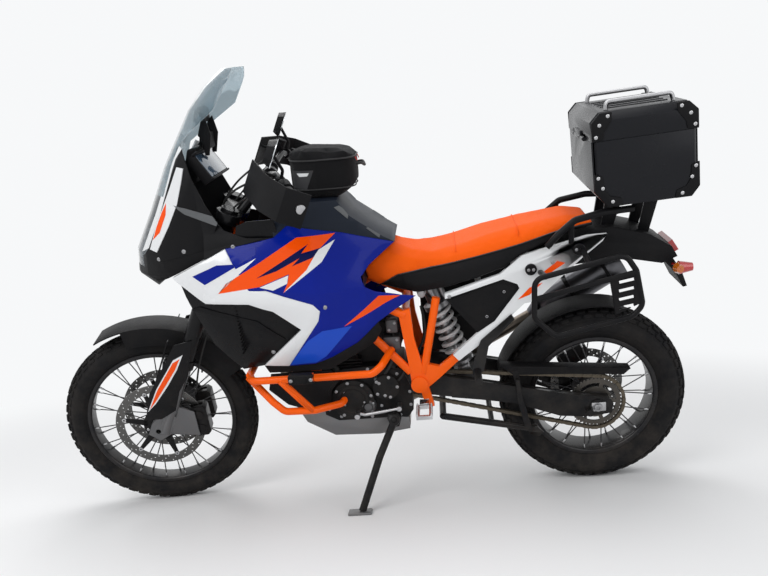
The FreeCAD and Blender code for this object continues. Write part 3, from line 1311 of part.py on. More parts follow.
def make_chain():
    """One closed loop round both sprockets: straight runs on their common tangents and an arc at each end."""
    counter = spot(0.106, 0, 0.462)
    far = REAR_AXLE
    big, small = d.sprocket_radius, d.counter_radius
    gap = math.hypot(far.x - counter.x, far.z - counter.z)
    slope = math.atan2(far.z - counter.z, far.x - counter.x)
    spread = math.asin((big - small) / gap)

    def loop(grow):
        def rim_point(centre, radius, turn):
            return at(centre.x + radius * math.cos(turn), -d.sprocket_y - d.chain_half,
                      centre.z + radius * math.sin(turn))
        up = slope + math.pi / 2 + spread
        down = slope - math.pi / 2 - spread
        big_r, small_r = big + grow, small + grow
        a, b = rim_point(far, big_r, up), rim_point(far, big_r, down)
        c, e = rim_point(counter, small_r, down), rim_point(counter, small_r, up)
        edges = [Part.Arc(a, rim_point(far, big_r, slope), b).toShape(), Part.LineSegment(b, c).toShape(),
                 Part.Arc(c, rim_point(counter, small_r, slope + math.pi), e).toShape(),
                 Part.LineSegment(e, a).toShape()]
        return Part.Face(Part.Wire(edges))

    band = loop(d.chain_height / 2).cut(loop(-d.chain_height / 2)).extrude(at(0, 2 * d.chain_half, 0))
    piece("chain", band)


def make_chain_guard():
    outline = seen([(0.458, 0.508), (0.902, 0.469), (0.879, 0.448), (0.7, 0.462), (0.502, 0.472)])
    wall = d.chain_guard_wall
    outer = d.arm_half + d.arm_wall / 2
    top = plate(seen([(0.458, 0.508), (0.902, 0.469), (0.9, 0.465), (0.458, 0.503)]),
                d.sprocket_y - d.chain_half, outer)
    side = plate(outline, outer - wall, outer)
    lug = plate(seen([(0.5, 0.475), (0.52, 0.475), (0.53, 0.42), (0.51, 0.42)]), outer, outer + wall)
    lug_top = plate(seen([(0.5, 0.475), (0.52, 0.475), (0.52, 0.49), (0.5, 0.49)]), outer - wall,
                    outer + wall)
    guard = join(top, side, lug, lug_top)
    piece("chain_guard", guard.mirror(ORIGIN, ALONG_Y))


def make_shock():
    top, foot = spot(0.225, 0, 0.79), spot(0.338, 0, 0.462)
    way = foot - top
    body = rod(top, top + way * 0.45, d.shock_radius)
    piston = rod(top + way * 0.45, foot, d.shock_radius * 0.4)
    collar = rod(top + way * 0.22, top + way * 0.26, d.spring_radius + d.spring_wire)
    cup = rod(top + way * 0.9, top + way * 0.95, d.spring_radius + d.spring_wire)
    coils = []
    for index in range(int(d.spring_turns)):
        low = 0.29 + 0.6 * index / d.spring_turns
        coils.append(rod(top + way * low, top + way * (low + 0.3 / d.spring_turns),
                         d.spring_radius + d.spring_wire))
    sleeve = rod(top + way * 0.26, top + way * 0.9, d.spring_radius - d.spring_wire * 0.5)
    piece("shock", join(body, piston, collar, cup, sleeve, *coils))


def make_rear_brake():
    body = astride(d.rear_disc_radius, d.rear_disc_y, d.rear_caliper_angle, d.rear_caliper_width)
    body.translate(REAR_AXLE)
    piece("rear_caliper", body)


def make_exhaust():
    aside = d.header_half
    header = tube(run([(-0.3, aside * 0.66, 0.6), (-0.345, aside * 0.75, 0.53), (-0.3, aside, 0.42),
                       (-0.235, aside, 0.345), (-0.14, aside, 0.308), (-0.06, aside, 0.306)]),
                  d.pipe_radius, 3 * d.pipe_radius)
    box = Part.makeBox(d.collector_length, d.engine_half * 1.5, d.collector_height,
                       spot(-0.07, -d.engine_half * 0.6, 0.279))
    link = tube(run([(0.08, d.engine_half * 0.7, 0.306), (0.15, d.engine_half * 1.2, 0.31),
                     (0.25, d.engine_half * 1.6, 0.34), (0.42, d.engine_half * 1.68, 0.48),
                     (0.6, d.silencer_y, 0.575)]), d.pipe_radius, 4 * d.pipe_radius)
    piece("exhaust_pipes", join(header, box, link))
    start, end = spot(0.6, d.silencer_y, 0.575), spot(0.93, d.silencer_y, 0.765)
    way = end - start
    cone = Part.makeCone(d.pipe_radius * 1.1, d.silencer_radius, way.Length * 0.2, start, way)
    can = rod(start + way * 0.2, start + way * 0.85, d.silencer_radius)
    cap = rod(start + way * 0.85, end, d.silencer_cap)
    mouth = rod(start + way * 0.9, end + way * 0.1, d.pipe_radius)
    strap = plate(seen([(0.66, 0.8), (0.7, 0.8), (0.73, 0.72), (0.7, 0.72)]), d.rail_half + d.rail_wall,
                  d.rail_half + d.rail_wall + d.peg_wall / 2)
    piece("silencer", join(cone, can, cap, strap).cut(mouth))


# Foot rests and stands

def make_foot_rests():
    peg_inner = d.peg_inner
    middle = spot(0.19, 0, 0.402)
    peg = Part.makeBox(d.peg_width, d.peg_length, d.peg_wall,
                       at(middle.x - d.peg_width / 2, peg_inner + d.frame_tube, middle.z - d.peg_wall / 2))
    well = Part.makeBox(d.peg_width * 0.6, d.peg_length * 0.8, 2 * d.peg_wall,
                        at(middle.x - d.peg_width * 0.3, peg_inner + d.frame_tube + d.peg_length * 0.1,
                           middle.z - d.peg_wall))
    bracket = Part.makeBox(d.peg_width * 0.6, peg_inner - d.frame_half - d.pivot_plate / 2 + d.frame_tube,
                           d.peg_wall * 1.6, at(middle.x - d.peg_width * 0.3,
                                                d.frame_half + d.pivot_plate / 2,
                                                middle.z - d.peg_wall * 0.8))
    rests = [twin(join(peg.cut(well), bracket))]
    inner, outer = d.rail_half + d.rail_wall, d.rail_half + d.rail_wall + d.hanger_wall
    hanger = plate(seen([(0.36, 0.53), (0.395, 0.62), (0.42, 0.64), (0.5, 0.705), (0.51, 0.69), (0.42, 0.6),
                         (0.4, 0.51), (0.362, 0.498)]), inner, outer)
    peg_middle = spot(0.378, 0, 0.512)
    peg = drum(peg_middle.x, peg_middle.z, d.back_peg_radius, outer, outer + d.back_peg_length)
    rests.append(twin(join(hanger, peg)))
    piece("foot_rests", Part.makeCompound(rests))


def make_foot_controls():
    """A pedal on each side: a shaft out of the engine, an arm forward, and a peg for the toe."""
    outside = d.engine_half + d.cover_depth
    reach = outside + d.grip_radius
    arm = tube(run([(0.1, reach, 0.385), (-0.02, reach, 0.37), (-0.05, reach, 0.378)]),
               d.lever_radius * 1.2, d.grip_radius)
    toe = rod(spot(-0.045, reach, 0.378), spot(-0.045, reach + d.grip_radius * 2, 0.378),
              d.lever_radius * 1.8)
    shaft = rod(spot(0.1, d.engine_half, 0.385), spot(0.1, reach + d.lever_radius, 0.385),
                d.lever_radius * 1.8)
    piece("foot_controls", twin(join(arm, toe, shaft)))


PROP_HINGE = spot(0.08, -d.prop_hinge_half, 0.345)
PROP_PIN = FreeCAD.Rotation(ALONG_X, -d.prop_pin_angle).multVec(ALONG_Y)


def make_side_stand():
    """The leg swings on a pin through a lug below the frame; its foot lies flat on the ground."""
    upright = ground_pose().inverse()
    mark = ground_pose().multVec(spot(-0.05, -d.prop_foot_half, 0))
    sole = upright.multVec(at(mark.x, mark.y, 0))
    normal = upright.Rotation.multVec(ALONG_Z)
    ankle = sole + normal * d.prop_foot_wall
    knee = PROP_HINGE + (ankle - PROP_HINGE) * 0.4 + at(-d.prop_radius * 0.5, 0, 0)
    shank = tube([tuple(PROP_HINGE), tuple(knee), tuple(ankle)], d.prop_radius, 4 * d.prop_radius)
    foot = block(mark.x - d.prop_foot_length * 0.6, mark.y, 0, d.prop_foot_length, d.prop_foot_width,
                 d.prop_foot_wall)
    foot = foot.transformGeometry(upright.toMatrix())
    boss = rod(PROP_HINGE - PROP_PIN * d.prop_radius, PROP_HINGE + PROP_PIN * d.prop_radius,
               d.prop_radius * 1.5)
    far = PROP_PIN * d.prop_foot_half
    hole = rod(PROP_HINGE - far, PROP_HINGE + far, d.pivot_bolt + d.fit_gap)
    below = block(-d.wheelbase, 0, -d.wheelbase, 2 * d.wheelbase, 2 * d.wheelbase, d.wheelbase)
    below = below.transformGeometry(upright.toMatrix())
    piece("side_stand", join(shank, boss, foot).cut(hole).cut(below))


def make_stand_mounts():
    """The lug and pin that hold the side stand, and the cross pin of the centre stand."""
    lug = plate(seen([(0.058, 0.368), (0.086, 0.368), (0.104, 0.345), (0.095, 0.318), (0.066, 0.318),
                      (0.054, 0.345)]), -d.prop_hinge_half, -d.engine_half)
    inner = PROP_HINGE + PROP_PIN * (d.prop_radius + d.prop_gap)
    outer = PROP_HINGE - PROP_PIN * (d.prop_radius + d.flange_thick)
    lug = lug.cut(rod(inner, inner - PROP_PIN * d.prop_hinge_half, 4 * d.prop_radius))
    pin = rod(inner + PROP_PIN * d.prop_radius, outer, d.pivot_bolt)
    pivot = d.centre_half + d.centre_radius
    cross = drum(CENTRE_HINGE.x, CENTRE_HINGE.z, d.pivot_bolt, -pivot, pivot)
    piece("stand_mounts", Part.makeCompound([join(lug, pin), cross]))


CENTRE_HINGE = spot(0.25, 0, 0.332)


def make_centre_stand():
    hinge = CENTRE_HINGE
    foot = spot(0.57, 0, 0.262)
    half = d.centre_half
    strut = rod(at(hinge.x, half, hinge.z), at(foot.x, half, foot.z), d.centre_radius)
    shoe = plate(seen([(0.54, 0.275), (0.58, 0.272), (0.6, 0.25), (0.585, 0.236), (0.55, 0.246)]),
                 half - d.centre_radius, half + d.centre_radius)
    side = join(strut, shoe)
    cross = drum(hinge.x, hinge.z, d.centre_radius, -half, half)
    brace = rod(spot(0.42, -half, 0.295), spot(0.42, half, 0.295), d.centre_radius * 0.8)
    bore = drum(hinge.x, hinge.z, d.pivot_bolt + d.fit_gap, -half * 2, half * 2)
    outer = half + d.centre_radius + d.tang_wall
    tang = plate(seen([(0.535, 0.276), (0.56, 0.265), (0.528, 0.4), (0.52, 0.46), (0.508, 0.46),
                       (0.512, 0.38)]), outer - d.tang_wall, outer)
    ear = plate(seen([(0.535, 0.276), (0.56, 0.265), (0.55, 0.3), (0.532, 0.3)]), half, outer)
    tang = join(tang, ear)
    piece("centre_stand", join(side, side.mirror(ORIGIN, ALONG_Y), cross, brace,
                               tang.mirror(ORIGIN, ALONG_Y)).cut(bore))


# Seats and reliefs

RELIEFS = {
    "engine": ("main_frame",),
    "fuel_tank": ("main_frame", "seat", "shroud_bands", "radiator_shrouds"),
    "crash_bars": ("engine", "belly_panels", "skid_plate", "main_frame"),
    "front_calipers": ("fork_lowers",),
    "hand_guards": ("grips",),
    "pannier_racks": ("subframe",),
    "rear_lamps": ("tail_unit",),
    "nose_cowl": ("headlight", "nose_panels", "windscreen"),
    "swing_arm": ("main_frame",),
    "shock": ("main_frame", "swing_arm", "subframe", "seat"),
    "seat": ("main_frame",),
    "subframe": ("main_frame", "seat"),
    "side_covers": ("subframe", "main_frame", "seat"),
    "tail_unit": ("subframe", "seat"),
    "luggage_rack": ("subframe", "seat", "tail_unit"),
    "top_case": ("luggage_rack",),
    "skid_plate": ("engine",),
    "exhaust_pipes": ("engine", "skid_plate", "silencer"),
    "cockpit_stay": ("main_frame", "headlight", "dash"),
    "radiator_shrouds": ("main_frame",),
    "radiators": ("main_frame",),
    "tank_bag": ("fuel_tank",),
}


def relieve():
    """Each piece gives way to those that it fits round."""
    for label, others in RELIEFS.items():
        shape = PIECES[label].shape
        for other in others:
            shape = shape.cut(PIECES[other].shape)
        PIECES[label].shape = solids_only(shape)


def make_all():
    make_wheels()
    make_fork()
    make_yokes()
    make_handlebar()
    make_hand_guards()
    make_mirrors()
    make_front_fender()
    make_fork_guards()
    make_front_calipers()
    make_main_frame()
    make_engine()
    make_skid_plate()
    make_crash_bars()
    make_side_panels()
    make_radiators()
    make_tank()
    make_nose()
    make_stay()
    make_dash()
    make_seat()
    make_subframe()
    make_tail()
    make_luggage_rack()
    make_top_case()
    make_tank_bag()
    make_pannier_racks()
    make_swing_arm()
    make_chain()
    make_chain_guard()
    make_shock()
    make_rear_brake()
    make_exhaust()
    make_foot_rests()
    make_foot_controls()
    make_side_stand()
    make_stand_mounts()
    make_centre_stand()
    relieve()
    doc.recompute()


# The document: every piece stands where its placement puts it


def stand_all():
    """Places every piece; the origin is on the ground under the middle of the whole machine."""
    pose = ground_pose()
    box = FreeCAD.BoundBox()
    for label, item in PIECES.items():
        if item.thing is None:
            item.thing = doc.addObject("Part::Feature", label)
            item.thing.Shape = item.shape
        item.thing.Label = label
        item.thing.Placement = pose * item.place
        box.add(item.thing.Shape.optimalBoundingBox(False, False))
    shift = FreeCAD.Placement(at(-box.Center.x, -box.Center.y, -box.ZMin), FreeCAD.Rotation())
    for item in PIECES.values():
        item.thing.Placement = shift * item.thing.Placement
    doc.recompute()
    return shift * pose


def check_all():
    failed = [thing.Label for thing in doc.Objects if {"Invalid", "Error"} & set(thing.State)]
    for label, item in PIECES.items():
        shape = item.thing.Shape
        if shape.isNull() or not shape.isValid() or not shape.Solids:
            failed.append(label)
    if failed:
        raise RuntimeError("These did not build: " + ", ".join(failed))


def export_all():
    os.makedirs("parts", exist_ok=True)
    for label, item in PIECES.items():
        item.thing.Shape.exportStep(f"parts/{label}.step")


make_all()
POSE = stand_all()
check_all()
export_all()
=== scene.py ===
import bpy
import math
from mathutils import Matrix, Vector
from mathutils.bvhtree import BVHTree


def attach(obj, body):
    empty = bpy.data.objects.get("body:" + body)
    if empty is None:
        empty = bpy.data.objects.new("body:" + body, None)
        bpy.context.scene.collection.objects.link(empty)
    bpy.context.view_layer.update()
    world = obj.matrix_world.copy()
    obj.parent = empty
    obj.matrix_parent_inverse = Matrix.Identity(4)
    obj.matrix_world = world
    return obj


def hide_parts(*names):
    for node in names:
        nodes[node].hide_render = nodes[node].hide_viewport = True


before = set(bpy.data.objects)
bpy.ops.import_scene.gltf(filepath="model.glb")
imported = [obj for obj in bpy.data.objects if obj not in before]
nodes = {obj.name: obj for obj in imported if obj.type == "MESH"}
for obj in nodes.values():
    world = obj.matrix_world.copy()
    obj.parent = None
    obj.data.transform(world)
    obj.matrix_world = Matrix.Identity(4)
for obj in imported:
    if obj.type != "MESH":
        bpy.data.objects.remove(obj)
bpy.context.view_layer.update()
print("stage: frame loaded,", len(nodes), "nodes")

# Every piece is modelled upright in millimetres, wheels in line, X rearward from half way between the axles,
# and is then settled on its stand: steered, leaned, pitched and moved to its place.
stance = dict(wheelbase=1578, frontRadius=347, rearRadius=333, trail=112.8, rake=25.3, steer=7.7, lean=12,
              pitch=-0.139374, shift=(6.871, 227.917, 1.2246))


def turned(degrees, axis):
    return Matrix.Rotation(math.radians(degrees), 4, axis)


def movedTo(x, y, z):
    return Matrix.Translation((x, y, z))


def placeMatrices():
    toMetres = Matrix.Scale(0.001, 4)
    upright = toMetres @ movedTo(*stance["shift"]) @ turned(stance["pitch"], "Y") @ turned(stance["lean"], "X")
    rake = math.radians(stance["rake"])
    steerAxis = Vector((math.sin(rake), 0, math.cos(rake)))
    pivot = stance["wheelbase"] / 2 + stance["trail"]
    steer = movedTo(-pivot, 0, 0) @ turned(stance["steer"], steerAxis) @ movedTo(pivot, 0, 0)
    frontAxle = movedTo(-stance["wheelbase"] / 2, 0, stance["frontRadius"])
    rearAxle = movedTo(stance["wheelbase"] / 2, 0, stance["rearRadius"])
    return dict(frame=upright, steered=upright @ steer, frontWheel=upright @ steer @ frontAxle,
                fork=upright @ steer @ frontAxle @ turned(stance["rake"], "Y"), rearWheel=upright @ rearAxle)


place = placeMatrices()


# modelling helpers

def clearSelection():
    if bpy.context.object and bpy.context.object.mode != "OBJECT":
        bpy.ops.object.mode_set(mode="OBJECT")
    bpy.ops.object.select_all(action="DESELECT")


def pick(piece):
    clearSelection()
    piece.select_set(True)
    bpy.context.view_layer.objects.active = piece


def inEdit(piece, *steps):
    # each step acts on the whole mesh
    pick(piece)
    bpy.ops.object.mode_set(mode="EDIT")
    for step in steps:
        bpy.ops.mesh.select_all(action="SELECT")
        step()
    bpy.ops.object.mode_set(mode="OBJECT")


def facedOut():
    bpy.ops.mesh.normals_make_consistent(inside=False)


def tidyMesh(piece, doubles=0.02):
    inEdit(piece, lambda: bpy.ops.mesh.remove_doubles(threshold=doubles), facedOut)


def addModifier(piece, kind, **values):
    pick(piece)
    step = piece.modifiers.new(kind.lower(), kind)
    for name, value in values.items():
        setattr(step, name, value)
    bpy.ops.object.modifier_apply(modifier=step.name)
    return piece


def rounded(piece, width, segments=2, angle=35):
    return addModifier(piece, "BEVEL", width=width, segments=segments, limit_method="ANGLE",
                       angle_limit=math.radians(angle), harden_normals=False)


def smoothed(piece, angle=40):
    pick(piece)
    bpy.ops.object.shade_smooth_by_angle(angle=math.radians(angle))
    return piece


def outlinePlate(outline, low, high, bevel=0.0, segments=2, axis="Y"):
    # a flat outline, extruded: across the machine (points are x, z) or along it (points are y, z)
    clearSelection()
    bpy.ops.mesh.primitive_circle_add(vertices=len(outline), radius=1, fill_type="NGON")
    piece = bpy.context.object
    for vertex, (first, second) in zip(piece.data.vertices, outline):
        vertex.co = (first, low, second) if axis == "Y" else (low, first, second)
    move = (0, high - low, 0) if axis == "Y" else (high - low, 0, 0)
    inEdit(piece, lambda: bpy.ops.mesh.extrude_region_move(TRANSFORM_OT_translate=dict(value=move)), facedOut)
    return rounded(piece, bevel, segments) if bevel else piece


def slab(low, high, bevel=0.0, segments=2):
    clearSelection()
    middle = [(a + b) / 2 for a, b in zip(low, high)]
    bpy.ops.mesh.primitive_cube_add(size=1, location=middle)
    piece = bpy.context.object
    piece.scale = [b - a for a, b in zip(low, high)]
    bpy.ops.object.transform_apply(location=True, rotation=True, scale=True)
    return rounded(piece, bevel, segments) if bevel else piece


def roundBar(start, end, radius, sides=24, bevel=0.0, tip=None):
    # a straight bar between two points, or a cone if a tip radius is given
    clearSelection()
    start, end = Vector(start), Vector(end)
    bpy.ops.mesh.primitive_cone_add(vertices=sides, radius1=radius, radius2=radius if tip is None else tip,
                                    depth=(end - start).length)
    piece = bpy.context.object
    turn = (end - start).to_track_quat("Z", "Y").to_matrix().to_4x4()
    piece.data.transform(Matrix.Translation((start + end) / 2) @ turn)
    return rounded(piece, bevel, 2, 50) if bevel else piece


def arcRoute(points, bend, steps=6):
    # the route with each corner cut by a curve
    corners = [Vector(point) for point in points]
    route = [corners[0]]
    for before, corner, after in zip(corners, corners[1:], corners[2:]):
        into, away = (corner - before).normalized(), (after - corner).normalized()
        half = into.angle(away) / 2
        if half < 0.02:
            route.append(corner)
            continue
        cut = min(bend * math.tan(half), 0.45 * (corner - before).length, 0.45 * (after - corner).length)
        entry, leave = corner - into * cut, corner + away * cut
        for step in range(steps + 1):
            share = step / steps
            route.append((1 - share) ** 2 * entry + 2 * share * (1 - share) * corner + share ** 2 * leave)
    return route + [corners[-1]]


def linePiece(kind, route, radius, sides, closed=False):
    clearSelection()
    line = bpy.data.curves.new("line", "CURVE")
    line.dimensions = "3D"
    line.bevel_depth = radius
    line.bevel_resolution = max(1, sides // 4 - 1)
    line.use_fill_caps = True
    line.resolution_u = 6
    spline = line.splines.new(kind)
    spline.points.add(len(route) - 1)
    for spot, point in zip(spline.points, route):
        spot.co = (*point, 1)
    spline.use_cyclic_u = closed
    if kind == "NURBS":
        spline.order_u = 3
        spline.use_endpoint_u = True
    piece = bpy.data.objects.new("line", line)
    bpy.context.scene.collection.objects.link(piece)
    pick(piece)
    bpy.ops.object.convert(target="MESH")
    piece = bpy.context.object
    tidyMesh(piece)
    return piece


def tube(points, radius, bend=0.0, sides=16, closed=False):
    return linePiece("POLY", arcRoute(points, bend) if bend else points, radius, sides, closed)


def hose(points, radius):
    # a soft line through given points
    return smoothed(linePiece("NURBS", points, radius, 12), 60)


def spun(profile, steps=96, axis="Y"):
    # a profile of (radius, along the axis) turned about the axis
    clearSelection()
    bpy.ops.mesh.primitive_circle_add(vertices=len(profile), radius=1, fill_type="NOTHING")
    piece = bpy.context.object
    for vertex, (radius, along) in zip(piece.data.vertices, profile):
        vertex.co = dict(X=(along, radius, 0), Y=(radius, along, 0), Z=(radius, 0, along))[axis]
    way = dict(X=(1, 0, 0), Y=(0, 1, 0), Z=(0, 0, 1))[axis]
    inEdit(piece, lambda: bpy.ops.mesh.spin(steps=steps, angle=2 * math.pi, center=(0, 0, 0), axis=way),
           lambda: bpy.ops.mesh.remove_doubles(threshold=0.01), facedOut)
    return piece


def joined(name, pieces):
    pick(pieces[0])
    for piece in pieces[1:]:
        piece.select_set(True)
    if len(pieces) > 1:
        bpy.ops.object.join()
    pieces[0].name = name
    return pieces[0]


def moved(piece, where):
    piece.data.transform(where)
    if where.determinant() < 0:
        piece.data.flip_normals()
    return piece


def copied(piece, where):
    twin = piece.copy()
    twin.data = piece.data.copy()
    bpy.context.scene.collection.objects.link(twin)
    return moved(twin, where)


def repeated(name, piece, places):
    group = [copied(piece, where) for where in places]
    bpy.data.objects.remove(piece)
    return joined(name, group)


acrossY = Matrix.Scale(-1, 4, (0, 1, 0))


def mirrored(piece):
    return joined(piece.name, [piece, copied(piece, acrossY)])


def carved(piece, cutter, way="DIFFERENCE"):
    addModifier(piece, "BOOLEAN", operation=way, object=cutter, solver="EXACT")
    bpy.data.objects.remove(cutter)
    return piece


def ring(count, start=0.0):
    return [turned(start + 360 * index / count, "Y") for index in range(count)]


def nodeCopy(name, node):
    # a node's own shape, drawn upright again in millimetres, ready to be worked on
    piece = nodes[node].copy()
    piece.data = nodes[node].data.copy()
    piece.parent = None
    piece.name = name
    piece.hide_viewport = piece.hide_render = False
    for key in list(piece.keys()):
        del piece[key]
    bpy.context.scene.collection.objects.link(piece)
    piece.data.materials.clear()
    piece.data.transform(place["frame"].inverted())
    tidyMesh(piece)
    return piece


def settled(piece, look, body="chassis", where="frame", node=None, angle=40):
    # the last step of a piece: its shading, its place, its surface, and the body and node that it belongs to, with that
    # node hidden
    smoothed(piece, angle)
    piece.data.transform(place[where])
    piece.data.materials.clear()
    piece.data.materials.append(finishes[look])
    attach(piece, body)
    if node:
        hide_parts(node)
    return piece


def fitted(name, look, slot, slabs=(), bars=(), plates=(), hoses=(), tubes=(), made=(), at=None, mirror=False,
           body="chassis", where="frame", angle=40):
    # a small piece joined from plain parts, turned to its place and mirrored if it has a twin
    parts = [slab(*row) for row in slabs] + [roundBar(*row) for row in bars] + [hose(*row) for row in hoses]
    parts += [outlinePlate(*row) for row in plates] + [tube(*row) for row in tubes] + list(made)
    whole = joined(name, parts)
    if at:
        moved(whole, at)
    if mirror:
        mirrored(whole)
    return settled(whole, look, body, where, angle=angle)


# finishes: two shared effects, then one material for each surface of the machine

def feed(tree, socket, value):
    # another node's output, or a plain value
    if isinstance(value, bpy.types.NodeSocket):
        tree.links.new(value, socket)
    else:
        socket.default_value = value


def shaderNode(tree, kind, inputs=None, **settings):
    node = tree.nodes.new("ShaderNode" + kind)
    for name, value in settings.items():
        setattr(node, name, value)
    for socket, value in (inputs or {}).items():
        feed(tree, node.inputs[socket], value)
    return node.outputs


def maths(tree, operation, *values):
    return shaderNode(tree, "Math", dict(enumerate(values)), operation=operation)[0]


def effectGroup(name, inputs, outputs):
    group = bpy.data.node_groups.new(name, "ShaderNodeTree")
    for label, value in inputs.items():
        kind = "NodeSocketVector" if isinstance(value, tuple) else "NodeSocketFloat"
        group.interface.new_socket(name=label, in_out="INPUT", socket_type=kind).default_value = value
    for label in outputs:
        group.interface.new_socket(name=label, in_out="OUTPUT", socket_type="NodeSocketFloat")
    return group, group.nodes.new("NodeGroupInput").outputs, group.nodes.new("NodeGroupOutput").inputs


def makeGrainGroup():
    # fine and coarse unevenness: a height for the bump, a shade for the colour and a share for the gloss
    group, source, sink = effectGroup("surfaceGrain", dict(Scale=400.0, Stretch=(1, 1, 1), Patch=6.0),
                                      ("Height", "Shade", "Gloss"))
    spot = shaderNode(group, "TexCoord")["Object"]
    spread = shaderNode(group, "VectorMath", {0: spot, 1: source["Stretch"]}, operation="MULTIPLY")[0]
    fine = shaderNode(group, "TexNoise", dict(Vector=spread, Scale=source["Scale"], Detail=3))["Fac"]
    coarse = shaderNode(group, "TexNoise", dict(Vector=spot, Scale=source["Patch"], Detail=5, Roughness=0.6))["Fac"]
    feed(group, sink["Height"], fine)
    feed(group, sink["Shade"], maths(group, "MULTIPLY", fine, coarse))
    feed(group, sink["Gloss"], coarse)
    return group


def makeDustGroup():
    # road dust: thick near the ground and thin higher up, broken by noise
    group, source, sink = effectGroup("roadDust", dict(Amount=0.2, Top=0.9), ("Dust",))
    spot = shaderNode(group, "TexCoord")["Object"]
    height = shaderNode(group, "SeparateXYZ", {0: spot})["Z"]
    noise = shaderNode(group, "TexNoise", dict(Vector=spot, Scale=14, Detail=6, Roughness=0.7))["Fac"]
    fall = shaderNode(group, "MapRange", {"Value": height, "From Max": source["Top"], "To Min": 1.0, "To Max": 0.12})[0]
    patch = shaderNode(group, "MapRange", {"Value": noise, "From Min": 0.38, "From Max": 0.72})[0]
    feed(group, sink["Dust"], maths(group, "MULTIPLY", maths(group, "MULTIPLY", fall, patch), source["Amount"]))
    return group


grainGroup = makeGrainGroup()
dustGroup = makeDustGroup()
dustColour = (0.23, 0.19, 0.15, 1)


def finish(name, colour, rough=0.5, metal=0.0, coat=0.0, grain=400, depth=0.1, shade=0.25, stretch=(1, 1, 1),
           dust=0.15, top=0.9, sheen=0.0, swing=0.15, specular=0.5, weave=None):
    # one surface: its colour broken by grain and dust, its gloss by larger patches, and a fine bump
    look = bpy.data.materials.new(name)
    look.use_nodes = True
    tree = look.node_tree
    grit = shaderNode(tree, "Group", dict(Scale=grain, Stretch=stretch), node_tree=grainGroup)
    dirt = shaderNode(tree, "Group", dict(Amount=dust, Top=top), node_tree=dustGroup)["Dust"]
    shaded = (*[part * (1 - shade) for part in colour], 1)
    tint = shaderNode(tree, "Mix", {0: grit["Shade"], 6: (*colour, 1), 7: shaded}, data_type="RGBA")[2]
    gloss = shaderNode(tree, "MapRange", {"Value": grit["Gloss"], "To Min": max(0.02, rough - swing),
                                          "To Max": min(1, rough + swing)})[0]
    height = weave(tree, grit["Height"]) if weave else grit["Height"]
    values = {"Base Color": shaderNode(tree, "Mix", {0: dirt, 6: tint, 7: dustColour}, data_type="RGBA")[2],
              "Roughness": maths(tree, "MAXIMUM", gloss, dirt), "Metallic": metal, "Specular IOR Level": specular,
              "Coat Weight": coat, "Coat Roughness": 0.05, "Sheen Weight": sheen,
              "Normal": shaderNode(tree, "Bump", dict(Strength=depth, Distance=0.001, Height=height))[0]}
    for socket, value in values.items():
        feed(tree, tree.nodes["Principled BSDF"].inputs[socket], value)
    return look


def wovenHeight(scale):
    # crossed threads for cloth and webbing
    def build(tree, height):
        spot = shaderNode(tree, "TexCoord")["Object"]
        threads = dict(Vector=spot, Scale=scale, Distortion=0.6)
        waves = [shaderNode(tree, "TexWave", threads, bands_direction=way)["Fac"] for way in ("X", "Z")]
        return maths(tree, "MULTIPLY_ADD", height, 0.35, maths(tree, "MULTIPLY", *waves))
    return build


def pebbleHeight(scale):
    # the cells of moulded vinyl or hard plastic
    def build(tree, height):
        spot = shaderNode(tree, "TexCoord")["Object"]
        cells = shaderNode(tree, "TexVoronoi", dict(Vector=spot, Scale=scale))["Distance"]
        return maths(tree, "MULTIPLY_ADD", height, 0.3, cells)
    return build


def glazing(name, colour, rough, clear, tint):
    # a clear or smoked pane: mostly see-through, with a coat for its shine
    look = finish(name, colour, rough, coat=0.6, grain=60, depth=0.01, shade=0.1, dust=0.05, swing=0.04)
    pane = look.node_tree.nodes["Principled BSDF"].inputs
    pane["Transmission Weight"].default_value = clear
    pane["IOR"].default_value = 1.2
    pane["Alpha"].default_value = tint
    return look


paint = dict(grain=80, depth=0.008, dust=0.02)  # what most painted panels share
vinyl = dict(weave=pebbleHeight(700), depth=0.4)
hardPlastic = dict(weave=pebbleHeight(1300), depth=0.25)
polished = dict(metal=1.0, grain=60, dust=0.02)
glassy = dict(coat=0.8, grain=300, depth=0.15, dust=0.06)

